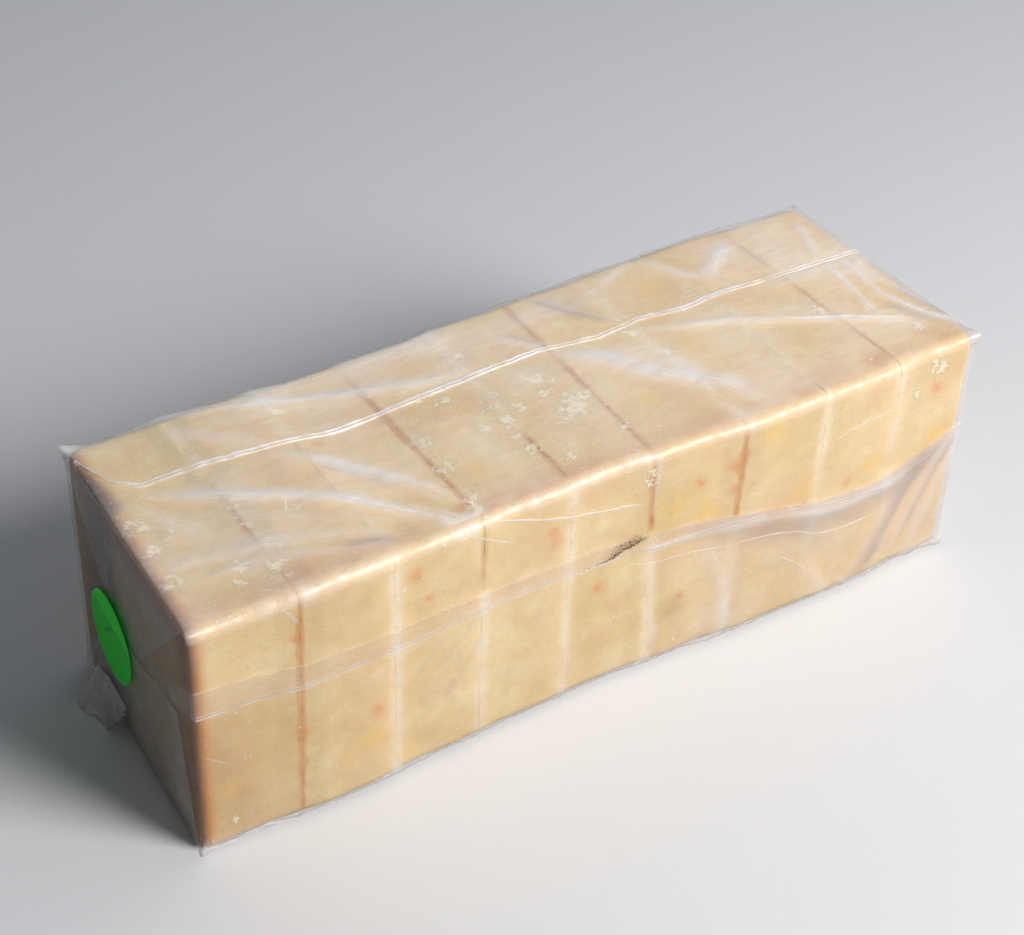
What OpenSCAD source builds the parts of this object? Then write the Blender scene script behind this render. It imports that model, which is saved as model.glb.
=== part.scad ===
// Loaf of soap, cut by wire into cakes of one inch and wrapped in a single sheet of clear film.
// The sheet goes once round the loaf, laps on the front, and folds over both ends like a parcel.
// A round paper label holds the fold of the left end.
// The loaf lies along X with its front towards -Y. The origin is on the surface that it rests on,
// under the middle of the loaf.

/* [Soap] */
// Number of cakes that the loaf is cut into
cake_count = 9; // [4:1:12]
// Thickness of one cake, along the loaf
cake_t = 25.4; // [15:0.1:40]
// Gap that the cutting wire leaves between two cakes
wire_gap = 0.3; // [0.2:0.05:0.8]
// Width of the loaf from front to back
loaf_w = 76; // [50:0.5:110]
// Height of the loaf
loaf_h = 72.6; // [45:0.1:110]
// Rounding of the long edges that the mould gives
edge_r = 3; // [1.5:0.1:6]
// Bevel that the wire leaves round each cut face
rim_bevel = 0.7; // [0.4:0.1:1.4]
// How strongly the cakes differ in height, place and cut, where 1 is this loaf
unevenness = 1; // [0:0.1:1.3]

/* [Film] */
// Thickness of one layer of film
film_t = 0.25; // [0.15:0.01:0.4]
// Clearance between the film and the soap
film_gap = 0.3; // [0.2:0.05:0.6]
// Slope at which the film runs down from a taller cake to its neighbour
film_slope = 0.12; // [0.05:0.01:0.3]
// Height of the pleat that stands along the top
ridge_h = 1.1; // [0.4:0.1:2.5]
// Width of the pleat that stands along the top
ridge_w = 2.4; // [1.2:0.1:5]
// Height of the folds that the pulled film makes
fold_h = 0.9; // [0.2:0.1:1.8]
// Softening of the edges round both ends
end_soft = 0.8; // [0.5:0.1:1.2]
// How far the folded ends of the wrap stand off the soap
end_bulge = 1.0; // [0.4:0.1:3]
// How far the loose tab of film reaches out at the foot of the left end
tab_reach = 6.5; // [2:0.5:15]
// How far the film stands out in points at its corners
ear_reach = 1.6; // [0.4:0.1:4]

/* [Label] */
// Diameter of the round paper label
label_d = 25.4; // [10:0.1:35]
// Thickness of the label
label_t = 0.2; // [0.1:0.05:0.6]
// Place of the label behind the middle of the end
label_y = 10; // [-12:0.5:12]
// Height of the middle of the label above the surface
label_z = 34; // [25:0.5:48]
// Angle at which the lower part of the label is bent
label_bend = 2; // [0.5:0.5:6]

/* [Hidden] */

// How far each cake stands out at the front and at the back, and how far it rises above the loaf
cake_front = [0.3, 1.7, 0.2, -0.7, -1.2, -0.1, 1.5, 1.9, 0.7];
cake_back = [0.3, -1.5, -1.0, -0.5, 0.2, 1.2, 2.0, 2.2, 0.5];
cake_rise = [-0.4, 1.2, 0, 0.2, 0.4, 0.3, 0.3, 0.7, 1.0];

// Where each cut between two cakes runs, beside its even place: at the front foot, at the front
// of the top and at the back of the top
cut_foot = [0.4, 1.3, 0.6, 0.6, 1.2, -0.6, 0, 0];
cut_front = [1.9, 1.2, 1.0, 1.1, -0.6, 1.6, 1.3, 0.3];
cut_back = [2.1, 0.6, -0.4, 1.4, 0.7, -1.7, -2.7, -3.3];
// The same for the two ends of the loaf
left_end_cut = [-0.5, 0, 3.0];
right_end_cut = [0.4, 0.4, -2.2];

// The pleat on the top, as [share along the loaf, share across it from the front]
ridge_path = [[0, 0.91], [0.01, 0.84], [0.02, 0.77], [0.045, 0.70], [0.1, 0.68], [0.2, 0.655],
              [0.28, 0.635], [0.36, 0.65], [0.54, 0.685], [0.62, 0.65], [0.68, 0.67],
              [0.74, 0.645], [0.8, 0.655], [1, 0.625]];
// The two edges of the lap on the front, as [share along the loaf, share of its height]
lap_upper = [[0, 0.755], [0.06, 0.735], [0.12, 0.715], [0.28, 0.695], [0.44, 0.675], [0.58, 0.645],
             [0.66, 0.61], [0.78, 0.52], [0.86, 0.5], [0.94, 0.54], [1, 0.62]];
lap_lower = [[0, 0.635], [0.12, 0.61], [0.22, 0.615], [0.28, 0.60], [0.34, 0.615], [0.5, 0.59],
             [0.6, 0.565], [0.66, 0.565], [0.74, 0.515], [0.8, 0.475], [0.9, 0.44], [1, 0.54]];

// Folds of the pulled film, each as a run of [share along, share across or up] and a width in mm
top_folds = [
    [[[0.04, 0.66], [0.13, 0.38], [0.2, 0.235], [0.34, 0.0]], 5],
    [[[0.085, 0.45], [0.145, 0.26], [0.25, 0.1], [0.33, 0.0]], 4.5],
    [[[0.55, 0.67], [0.56, 0.37], [0.575, 0.19], [0.61, 0.0]], 5],
    [[[0.75, 0.47], [0.84, 0.37], [0.92, 0.27], [0.99, 0.15]], 5],
    [[[0.935, 0.65], [0.915, 0.48], [0.91, 0.34], [0.925, 0.27]], 4.5],
    [[[0.975, 0.62], [0.965, 0.45], [0.96, 0.22], [0.985, 0.12]], 4]
];
front_folds = [
    [[[0.33, 1.0], [0.4, 0.91], [0.48, 0.85], [0.55, 0.80]], 4.5],
    [[[0.6, 0.5], [0.66, 0.48], [0.735, 0.425], [0.81, 0.34], [0.9, 0.34]], 4.5],
    [[[0.92, 0.54], [0.895, 0.37], [0.87, 0.2], [0.86, 0.03]], 5],
    [[[0.965, 0.56], [0.945, 0.36], [0.925, 0.18], [0.915, 0.03]], 5],
    [[[0.995, 0.5], [0.985, 0.34], [0.975, 0.15], [0.965, 0.03]], 4]
];

// Film rings for each cake, film knots for each cake, and points on each rounded edge
rings_per_cake = 5;
knots_per_cake = 5;
arc_steps = 3;
cake_arc_steps = 4;
// Columns of points on the outside of the film, between its edges and its lap and pleat
foot_shares = [0.1, 0.2, 0.3, 0.5, 0.75];
front_low_cols = 5;
front_high_cols = 4;
top_front_cols = 8;
top_back_cols = 4;
back_cols = 3;
// Columns on each side of its inside
inner_side_cols = 2;
// Clearance between the two layers of the lap
lap_gap = 0.1;
// How far past the edge of the under layer the upper layer runs before it comes down to the soap
lap_over = 0.3;
lap_fall = 1.2;
// Width over which the folds fade out beside the lap
fold_fade = 4;
// Rings on the folded ends, as shares of the way from the edge to the middle, and how much of the
// lap is left on each; the last ring is the rim of the small hole that the folds leave in the middle
end_rings = [0.13, 0.28, 0.45, 0.7, 0.88];
end_lap = [1, 0.8, 0.5, 0.2, 0];
rim_outer = 0.94;
rim_inner = 0.96;
// Half of the slit that the lap leaves where it no longer overlaps
slit_half = 0.9;
// The tab's reach along the foot of the left end, as [share across, share of its reach]
tab_profile = [[0.55, 0], [0.7, 0.6], [0.8, 1], [0.9, 0.45], [0.97, 0]];
// Share of the tab's reach that is left one ring further up
tab_rise = 0.5;
// How strongly the film points out at each corner of an end: front foot, front top, back top, back foot
left_ears = [0.8, 0.3, 1, 0.3];
right_ears = [0.9, 1, 0.2, 0.3];
// Share of its rounding's size within which a corner points out fully, and how far it also spreads
// sideways and up or down, as a share of that
ear_full = 0.5;
ear_spread = 0.6;
// Rings over which the folded ends come to stand off the soap
bulge_rings = 2;
// Layers that lie over each other on the lower and the upper flap of a folded end
lower_flap_layers = 2;
upper_flap_layers = 1;
// Clearance between the label and the film under it, and facets round its rim
label_clearance = 0.1;
label_sides = 64;

pitch = cake_t + wire_gap;
loaf_l = cake_count * pitch - wire_gap;
foot_z = film_t + film_gap;
mid_z = foot_z + loaf_h / 2;
// Distances of the film's skins from the soap: inner and outer skin, and those of the lap's upper layer
skin_in = film_gap;
skin_out = film_gap + film_t;
lap_in = skin_out + lap_gap;
lap_out = lap_in + film_t;

function mix(a, b, t) = a + (b - a) * t;
function within(t, low, high) = max(low, min(high, t));
function ease(t) = let (c = within(t, 0, 1)) c * c * (3 - 2 * c);
function around(list, i) = list[i % len(list)];

// Shares of the loaf's width and height at a place in its section
function share_y(y) = y / loaf_w + 0.5;
function share_z(z) = (z - foot_z) / loaf_h;

// A flat cut through the loaf, leaning as the wire ran: its place along X
function cut_x(i, y, z) =
    let (
        ends = i == 0 ? left_end_cut : i == cake_count ? right_end_cut : [],
        foot = len(ends) > 0 ? ends[0] : around(cut_foot, i - 1),
        front = len(ends) > 0 ? ends[1] : around(cut_front, i - 1),
        back = len(ends) > 0 ? ends[2] : around(cut_back, i - 1),
        lean = mix(foot, front, share_z(z)) + (back - front) * share_y(y)
    )
    within((i - cake_count / 2) * pitch, -loaf_l / 2, loaf_l / 2) + unevenness * lean;

// A place along the loaf, counted in cakes from the left end, between the cuts on its two sides
function loaf_x(u, y, z) =
    let (i = within(floor(u), 0, cake_count - 1))
    mix(cut_x(i, y, z), cut_x(i + 1, y, z), u - i);

// How far the film stands out over the cakes: it spans from each high cake to the lower ones
function tent(list, u) =
    max([for (j = [0:cake_count - 1])
        unevenness * around(list, j) - film_slope * cake_t * max(0, abs(u - j - 0.5) - 0.5)]);
function cover(list, u) =
    let (k = within(floor(u * knots_per_cake), 0, cake_count * knots_per_cake - 1))
    mix(tent(list, k / knots_per_cake), tent(list, (k + 1) / knots_per_cake), u * knots_per_cake - k);

// The film's faces at a place along the loaf, for a skin at distance d from the soap
function face_front(u, d) = -loaf_w / 2 - cover(cake_front, u) - d;
function face_back(u, d) = loaf_w / 2 + cover(cake_back, u) + d;
function face_top(u, d) = foot_z + loaf_h + cover(cake_rise, u) + d;
function face_foot(d) = foot_z - d;

// Distance from a point to a run of straight stretches
function to_stretch(p, a, b) =
    let (ab = b - a, t = within((p - a) * ab / (ab * ab), 0, 1))
    norm(p - a - ab * t);
function to_run(p, run) = min([for (k = [0:len(run) - 2]) to_stretch(p, run[k], run[k + 1])]);

// Height of the folds at a place on a face, where size is the face's length and its width or height
function folds(list, size, s, t) =
    let (p = [s * size.x, t * size.y])
    fold_h * max([for (fold = list)
        let (run = [for (q = fold[0]) [q.x * size.x, q.y * size.y]])
        1 - ease(to_run(p, run) / fold[1])]);

// A quarter round of the film's section: points from angle a, turning clockwise seen from the left
function quarter(cy, cz, r, a, steps) =
    [for (k = [0:steps]) let (g = a - 90 * k / steps) [cy + r * cos(g), cz + r * sin(g)]];

// The same for a skin at distance d; the corner counts front foot, front top, back top, back foot
function edge_round(u, d, corner) =
    let (
        r = edge_r + d,
        y = corner < 2 ? face_front(u, d) + r : face_back(u, d) - r,
        z = corner == 1 || corner == 2 ? face_top(u, d) - r : face_foot(d) + r
    )
    [for (p = quarter(y, z, r, 270 - 90 * corner, arc_steps)) [p.x, p.y, d]];

// Heights of the lap's two edges on the front
function lap_low_z(u) = foot_z + loaf_h * lookup(u / cake_count, lap_lower);
function lap_high_z(u) = foot_z + loaf_h * lookup(u / cake_count, lap_upper);

// Height of the folds on the front, which fade out beside the lap
function front_relief(u, z) =
    let (off_lap = max(lap_low_z(u) - z, z - lap_high_z(u) - lap_fall, 0))
    ease(off_lap / fold_fade) * folds(front_folds, [loaf_l, loaf_h], u / cake_count, share_z(z));
function top_relief(u, y) = folds(top_folds, [loaf_l, loaf_w], u / cake_count, share_y(y));

// Edges of the two layers where the share w of the lap is left: of the upper layer, which comes
// down from the top, and of the under layer, which comes up from the foot
function upper_edge(u, w) = mix((lap_low_z(u) + lap_high_z(u)) / 2 + slit_half, lap_low_z(u), w);
function under_edge(u, w) = mix((lap_low_z(u) + lap_high_z(u)) / 2 - slit_half, lap_high_z(u), w);

// The outside of the sheet at a place along the loaf, as [y, z, distance from the soap]: from the
// edge of the upper layer up the front, over the top, down the back, under the foot and up the
// front again to the edge of the under layer
function outer_path(u, w) =
    let (
        d = skin_out,
        r = edge_r + d,
        low = face_foot(d) + r,
        high = face_top(u, d) - r,
        lap_top = lap_high_z(u) + lap_over,
        front = face_front(u, d),
        back = face_back(u, d),
        ridge_y = loaf_w * (lookup(u / cake_count, ridge_path) - 0.5),
        upper = [upper_edge(u, w), (upper_edge(u, w) + lap_top) / 2, lap_top],
        above = [for (k = [0:front_high_cols]) mix(lap_top + lap_fall, high, k / (front_high_cols + 1))],
        ahead = [for (k = [1:top_front_cols]) mix(front + r, ridge_y - ridge_w / 2, k / top_front_cols)],
        behind = [for (k = [0:top_back_cols]) mix(ridge_y + ridge_w / 2, back - r, k / (top_back_cols + 1))],
        below = [for (k = [1:front_low_cols]) mix(low, lap_low_z(u) - lap_over, k / front_low_cols)],
        under = [(lap_low_z(u) + under_edge(u, w)) / 2, under_edge(u, w)]
    )
    concat(
        [for (z = upper) [face_front(u, lap_out), z, lap_out]],
        [for (z = above) [front - front_relief(u, z), z, d]],
        edge_round(u, d, 1),
        [for (y = ahead) [y, face_top(u, d) + top_relief(u, y), d]],
        [[ridge_y, face_top(u, d) + ridge_h, d]],
        [for (y = behind) [y, face_top(u, d) + top_relief(u, y), d]],
        edge_round(u, d, 2),
        [for (k = [1:back_cols]) [back, mix(high, low, k / (back_cols + 1)), d]],
        edge_round(u, d, 3),
        [for (share = foot_shares) [mix(back - r, front + r, share), face_foot(d), d]],
        edge_round(u, d, 0),
        [for (z = below) [front - front_relief(u, z), z, d]],
        [for (z = under) [front, z, d]]
    );

// The inside of the sheet, all the way back to the edge of the upper layer
function inner_path(u, w) =
    let (
        d = skin_in,
        front_r = face_front(u, d) + edge_r + d,
        back_r = face_back(u, d) - edge_r - d,
        low = face_foot(d) + edge_r + d,
        high = face_top(u, d) - edge_r - d,
        lap_top = lap_high_z(u) + lap_over,
        between = [for (k = [1:inner_side_cols]) k / (inner_side_cols + 1)]
    )
    concat(
        [for (z = [under_edge(u, w), (lap_low_z(u) + under_edge(u, w)) / 2]) [face_front(u, d), z, d]],
        [[face_front(u, d), (low + lap_low_z(u)) / 2, d]],
        [for (k = [arc_steps:-1:0]) edge_round(u, d, 0)[k]],
        [for (k = between) [mix(front_r, back_r, k), face_foot(d), d]],
        [for (k = [arc_steps:-1:0]) edge_round(u, d, 3)[k]],
        [for (k = between) [face_back(u, d), mix(low, high, k), d]],
        [for (k = [arc_steps:-1:0]) edge_round(u, d, 2)[k]],
        [for (k = between) [mix(back_r, front_r, k), face_top(u, d), d]],
        [for (k = [arc_steps:-1:0]) edge_round(u, d, 1)[k]],
        [[face_front(u, d), lap_top + lap_fall, d]],
        [for (z = [lap_top, upper_edge(u, w)]) [face_front(u, lap_in), z, lap_in]]
    );

// Draws a point of a section in towards its middle: by a distance on every side, or by a share
function step_in(p, by) =
    [p.x * (1 - 2 * by / loaf_w), p.y - by * (p.y - mid_z) * 2 / loaf_h, p.z];
function draw_in(p, share) = [p.x * (1 - share), mix(p.y, mid_z, share), p.z];

// How much of its edge a skin at distance d gives up where it turns over an end
function soft_at(d) = end_soft - (2 - sqrt(2)) * (skin_out - d);

// How far a point of the outside is pulled out at the corners of an end
function ear_pull(u, p, ears) =
    let (
        ys = [face_front(u, p.z), face_back(u, p.z)],
        zs = [face_foot(p.z), face_top(u, p.z)],
        corners = [[ys[0], zs[0]], [ys[0], zs[1]], [ys[1], zs[1]], [ys[1], zs[0]]],
        reach = edge_r + p.z
    )
    ear_reach * max([for (c = [0:3])
        ears[c] * within((1 - norm([p.x, p.y] - corners[c]) / reach) / (1 - ear_full), 0, 1)]);

// Layers of the end's flaps at a point of the outside: the diagonals part the flaps from the sides
function flap_layers(p) =
    let (across = abs(p.x) / loaf_w, up = (p.y - mid_z) / loaf_h)
    up < -across ? lower_flap_layers : up > across ? upper_flap_layers : 0;

// Reach of the loose tab at a point of the left end's foot, n rings up from the edge
function tab_at(p, n) =
    p.y > film_t || n > 1 ? 0 : tab_reach * lookup(share_y(p.x), tab_profile) * (n == 0 ? 1 : tab_rise);

// One ring of the sheet round the loaf; the first and the last stand in by the softened edge
function wrap_ring(u) =
    let (
        side = u == 0 ? -1 : u == cake_count ? 1 : 0,
        outside = [for (p = outer_path(u, 1))
            let (
                pull = side == 0 ? 0 : ear_pull(u, p, side < 0 ? left_ears : right_ears),
                out = [sign(p.x), p.y > mid_z ? 1 : 0] * pull * ear_spread
            )
            [loaf_x(u, p.x, p.y) + side * (p.z - soft_at(p.z) + pull), p.x + out.x, p.y + out.y]],
        inside = [for (p = inner_path(u, 1))
            [loaf_x(u, p.x, p.y) + side * (p.z - soft_at(p.z)), p.x, p.y]]
    )
    concat(outside, inside);

// Rings over a folded end, from its softened edge towards its middle
function end_ring(side, n) =
    let (
        u = side < 0 ? 0 : cake_count,
        share = n == 0 ? 0 : end_rings[n - 1],
        w = n == 0 ? 1 : end_lap[n - 1],
        bulge = end_bulge * ease(n / bulge_rings),
        outside = [for (p = outer_path(u, w))
            let (
                q = draw_in(step_in(p, soft_at(p.z)), share),
                tab = side < 0 ? tab_at(p, n) : 0,
                layers = n == 0 ? 0 : flap_layers(p),
                z = n == 0 && tab > 0 ? film_t / 2 : q.y
            )
            [cut_x(u, q.x, q.y) + side * (p.z + bulge + layers * film_t + tab), q.x, z]],
        inside = [for (p = inner_path(u, w))
            let (q = draw_in(step_in(p, soft_at(p.z)), share))
            [cut_x(u, q.x, q.y) + side * (p.z + bulge), q.x, q.y]]
    )
    concat(outside, inside);

// The rim of the hole in the middle of a folded end, which is flat
function rim_ring(side) =
    let (
        u = side < 0 ? 0 : cake_count,
        stand = skin_out + end_bulge + lower_flap_layers * film_t,
        outside = [for (p = outer_path(u, 0)) draw_in(p, rim_outer)],
        inside = [for (p = inner_path(u, 0)) draw_in(p, rim_inner)]
    )
    [for (q = concat(outside, inside)) [cut_x(u, q.x, q.y) + side * stand, q.x, q.y]];

function film_rings() =
    let (last = len(end_rings))
    concat(
        [rim_ring(-1)],
        [for (n = [last:-1:0]) end_ring(-1, n)],
        [for (k = [0:cake_count * rings_per_cake]) wrap_ring(k / rings_per_cake)],
        [for (n = [0:last]) end_ring(1, n)],
        [rim_ring(1)]
    );

// Section of one cake, rounded on its long edges
function cake_section(i, inset) =
    let (
        r = edge_r - inset,
        f = -loaf_w / 2 - unevenness * around(cake_front, i) + inset,
        b = loaf_w / 2 + unevenness * around(cake_back, i) - inset,
        low = foot_z + inset,
        t = foot_z + loaf_h + unevenness * around(cake_rise, i) - inset
    )
    concat(
        quarter(f + r, low + r, r, 270, cake_arc_steps),
        quarter(f + r, t - r, r, 180, cake_arc_steps),
        quarter(b - r, t - r, r, 90, cake_arc_steps),
        quarter(b - r, low + r, r, 0, cake_arc_steps)
    );

function cake_ring(i, side, inset, inward) =
    let (
        cut = side < 0 ? i : i + 1,
        gap = cut == 0 || cut == cake_count ? 0 : wire_gap / 2
    )
    [for (p = cake_section(i, inset)) [cut_x(cut, p.x, p.y) - side * (gap + inward), p.x, p.y]];

// Closed solid through a row of rings that all have as many points, with flat ends
module loft(rings) {
    n = len(rings[0]);
    rows = len(rings);
    sides = [for (r = [0:rows - 2], k = [0:n - 1])
        let (a = r * n + k, b = r * n + (k + 1) % n)
        each [[a, b, b + n], [a, b + n, a + n]]];
    first = [for (k = [n - 1:-1:0]) k];
    last = [for (k = [0:n - 1]) (rows - 1) * n + k];
    polyhedron(points = [for (ring = rings) each ring], faces = concat(sides, [first, last]));
}

module soap_cake(i) {
    color([0.93, 0.83, 0.66])
    loft([
        cake_ring(i, -1, rim_bevel, 0),
        cake_ring(i, -1, 0, rim_bevel),
        cake_ring(i, 1, 0, rim_bevel),
        cake_ring(i, 1, rim_bevel, 0)
    ]);
}

module film_wrap() {
    color([0.92, 0.94, 0.96, 0.35])
    loft(film_rings());
}

// The label is a thin sheet, bent along the crease through its middle and cut round
module bent_strip(lift) {
    rotate([90, 0, 0])
    linear_extrude(label_d * 2, center = true)
    polygon([
        [-label_d, 2 * lift], [0, 0], [label_d, 0],
        [label_d, label_t], [0, label_t], [-label_d, 2 * lift + label_t]
    ]);
}

module round_label() {
    r = label_d / 2;
    lift = r * tan(label_bend);
    stand = skin_out + end_bulge + lower_flap_layers * film_t + label_clearance;
    turn = atan((cut_x(0, loaf_w / 2, label_z) - cut_x(0, -loaf_w / 2, label_z)) / loaf_w);
    color([0.1, 0.62, 0.18])
    translate([cut_x(0, label_y, label_z) - stand, label_y, label_z])
    rotate([0, 0, -turn])
    rotate([0, -90, 0])
    intersection() {
        cylinder(h = label_d, r = r, center = true, $fn = label_sides);
        bent_strip(lift);
    }
}

for (i = [0:cake_count - 1])
    soap_cake(i);
film_wrap();
round_label();
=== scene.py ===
"""Looks of a loaf of soap, cut into cakes and wrapped in clear film, with a round label on its left end.

Lengths are in millimetres in the tables and in the functions that shape a piece, and in metres in the meshes,
the materials, the lamp and the camera. The loaf lies along X, its front faces -Y, and it rests on Z = 0.
"""

import math

import bpy
import numpy as np
from mathutils import Matrix, Vector, noise


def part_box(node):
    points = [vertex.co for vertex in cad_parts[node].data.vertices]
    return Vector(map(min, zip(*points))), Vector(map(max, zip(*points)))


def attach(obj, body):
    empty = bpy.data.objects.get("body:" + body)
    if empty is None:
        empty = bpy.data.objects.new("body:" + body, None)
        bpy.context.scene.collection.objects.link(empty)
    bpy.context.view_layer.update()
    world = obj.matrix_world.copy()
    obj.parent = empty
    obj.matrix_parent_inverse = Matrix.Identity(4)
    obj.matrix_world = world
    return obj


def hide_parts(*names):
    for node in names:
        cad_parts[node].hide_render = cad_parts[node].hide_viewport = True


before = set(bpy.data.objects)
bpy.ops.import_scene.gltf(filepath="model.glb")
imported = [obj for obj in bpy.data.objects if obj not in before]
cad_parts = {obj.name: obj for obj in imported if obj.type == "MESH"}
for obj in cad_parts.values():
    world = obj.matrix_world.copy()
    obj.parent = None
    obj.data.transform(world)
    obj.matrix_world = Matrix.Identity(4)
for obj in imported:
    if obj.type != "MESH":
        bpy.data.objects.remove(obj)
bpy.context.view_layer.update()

MM = 0.001

# The cakes' nodes in the frame, from the end with the label
CAKES = [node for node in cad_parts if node.startswith("soap_cake_")]
CAKES.sort(key=lambda node: int(node.rsplit("_", 1)[1]))
CAKE_COUNT = len(CAKES)
# Thickness of a cake and of a cut, width and height of the loaf, radius of its long edges, and the bevels on
# the rims of a cut and on the loaf's ends
CAKE_T = 25.4
CUT_GAP = 0.3
LOAF_W = 76.0
LOAF_H = 72.6
EDGE_R = 3.0
RIM_BEVEL = 0.7
END_BEVEL = 2.4

# The film: how far it lies off the soap, how it falls from a high cake to a lower one, how it turns over an
# end and bulges there, and how far apart its rings lie
FILM_OFF = 0.45
FILM_SLOPE = 0.12
END_TURN_R = 0.9
END_BULGE = 1.0
RING_PITCH = 1.1
# The pleat on the top: height and width, the share of its height at a number of cakes along the loaf, its
# haze along X, partly milky folded film and partly a painted highlight, its section as [share across, share
# of the height], and the haze of each point of the section
RIDGE_H = 0.7
RIDGE_W = 2.3
RIDGE_FADE = [(0, 1), (6, 0.9), (7, 0.55), (9, 0.4)]
RIDGE_WHITES = [(-116, 0.8), (-60, 0.8), (-22, 1.0), (-18, 1.5), (-8, 1.4), (-3, 0.8), (3, 1.2), (9, 1.1),
                (14, 0.7), (28, 0.5), (36, 0.35), (41, 0.8), (56, 1.0), (64, 1.5), (71, 1.5), (77, 0.7),
                (116, 0.6)]
RIDGE_SHAPE = [(-0.44, 0.05), (-0.36, 0.6), (-0.29, 0.85), (-0.17, 0.5), (0, 0.4), (0.15, 0.5), (0.26, 1.0),
               (0.33, 0.75), (0.42, 0.08)]
RIDGE_HAZE = [0.12, 0.45, 0.58, 0.58, 0.56, 0.52, 0.46, 0.3, 0.1]
# The lap on the front: how far its upper layer stands off the lower one, and over what height that closes
LAP_STAND = 0.3
LAP_FALL = 1.6
# Haze at the sheet's two free edges, the lap's lower one and the hidden one, partly milky film and partly
# painted glints, as [point of the ring, haze]
FREE_EDGES = [(0, 0.65), (1, 0.55), (2, 0.15), (4, 0.45), (5, 0.2), (-1, 0.32), (-2, 0.16)]
# Haze of the film where it clings to the pale dust of a cut, and the most haze that it takes anywhere
SEAM_DUST = 0.4
FULL_HAZE = 0.92

# Where the pleat runs on the top, as [share along the loaf, share across it from the front], and the two
# edges of the lap on the front, as [share along the loaf, share of its height]
RIDGE_PATH = [[0, 0.91], [0.01, 0.84], [0.02, 0.77], [0.045, 0.70], [0.1, 0.68], [0.2, 0.655],
              [0.28, 0.635], [0.36, 0.65], [0.54, 0.685], [0.62, 0.65], [0.68, 0.67], [0.74, 0.645],
              [0.8, 0.655], [1, 0.625]]
LAP_UPPER = [[0, 0.755], [0.06, 0.735], [0.12, 0.715], [0.28, 0.695], [0.44, 0.675], [0.58, 0.645],
             [0.66, 0.61], [0.78, 0.52], [0.86, 0.5], [0.94, 0.54], [1, 0.62]]
LAP_LOWER = [[0, 0.635], [0.12, 0.61], [0.22, 0.615], [0.28, 0.60], [0.34, 0.615], [0.5, 0.59],
             [0.6, 0.565], [0.66, 0.565], [0.74, 0.515], [0.8, 0.475], [0.9, 0.44], [1, 0.54]]

# Soft folds of the film: path along X and Y or, on the front, along X and Z, half width, height and haze
TOP_FOLDS = [
    ([(-104, 12), (-90, 2), (-75, -7), (-64, -14), (-50, -28), (-42, -37)], 1.9, 0.75, 0.60),
    ([(-96, -2), (-82, -12), (-66, -22), (-52, -31)], 1.8, 0.35, 0.14),
    ([(-66, 6), (-58, -3), (-52, -9), (-44, -20), (-40, -27)], 2.1, 0.6, 0.50),
    ([(-72, 10), (-60, 1), (-50, -12), (-41, -25)], 1.5, 0.45, 0.36),
    ([(-88, 28), (-78, 20), (-68, 10)], 2.6, 0.35, 0.26),
    ([(-87, 36), (-70, 31), (-50, 25), (-38, 21), (-15, 15)], 2.2, 0.6, 0.50),
    ([(-86, 29), (-66, 26), (-50, 22), (-36, 18)], 2.4, 0.3, 0.18),
    ([(-66, 35), (-52, 34), (-34, 32), (-10, 33)], 3.0, 0.3, 0.34),
    ([(-112, -15), (-90, -19), (-70, -26), (-60, -31)], 2.4, 0.4, 0.30),
    ([(-108, -22), (-88, -25), (-72, -31), (-62, -34)], 1.6, 0.4, 0.22),
    ([(-48, -31), (-44, -35), (-38, -38)], 2.6, 0.5, 0.55),
    ([(-108, 10), (-104, 2), (-98, -8)], 2.6, 0.3, 0.28),
    ([(12, 14), (24, 2), (30, -7), (45, -22), (50, -32)], 3.2, 0.7, 0.55),
    ([(26, 4), (34, -2), (40, -10), (44, -24)], 3.4, 0.3, 0.24),
    ([(40, 8), (60, 1), (75, -7), (90, -15), (104, -24)], 1.6, 0.7, 0.50),
    ([(50, 6), (66, 0), (80, -6), (96, -14)], 4.0, 0.3, 0.22),
    ([(3, 24), (8, 19), (13, 13.5)], 1.8, 0.3, 0.32),
    ([(57, 37), (63, 26), (68, 20)], 1.4, 0.5, 0.42),
    ([(69, 19), (75, 25), (83, 31)], 2.4, 0.5, 0.52),
    ([(40, 31), (50, 36), (57, 38)], 2.0, 0.4, 0.36),
    ([(20, 36), (27, 25), (36, 15)], 1.2, 0.4, 0.10),
    ([(80, 8), (92, 9), (104, 9), (114, 8)], 3.4, 0.2, 0.30),
    ([(101, 13), (101, 2), (99.5, -12), (99, -19)], 0.9, 0.5, 0.48),
    ([(108, 30), (104, 18), (102, 12)], 1.1, 0.4, 0.34),
    ([(106, 10), (106.5, 0), (106, -10), (110, -24), (117, -33)], 0.9, 0.6, 0.54),
    ([(110, 9), (109.5, -3), (112, -12), (114, -20)], 0.9, 0.5, 0.40),
    ([(99, -10), (97.5, -15), (99, -20), (103, -23)], 1.0, 0.4, 0.34),
]
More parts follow.
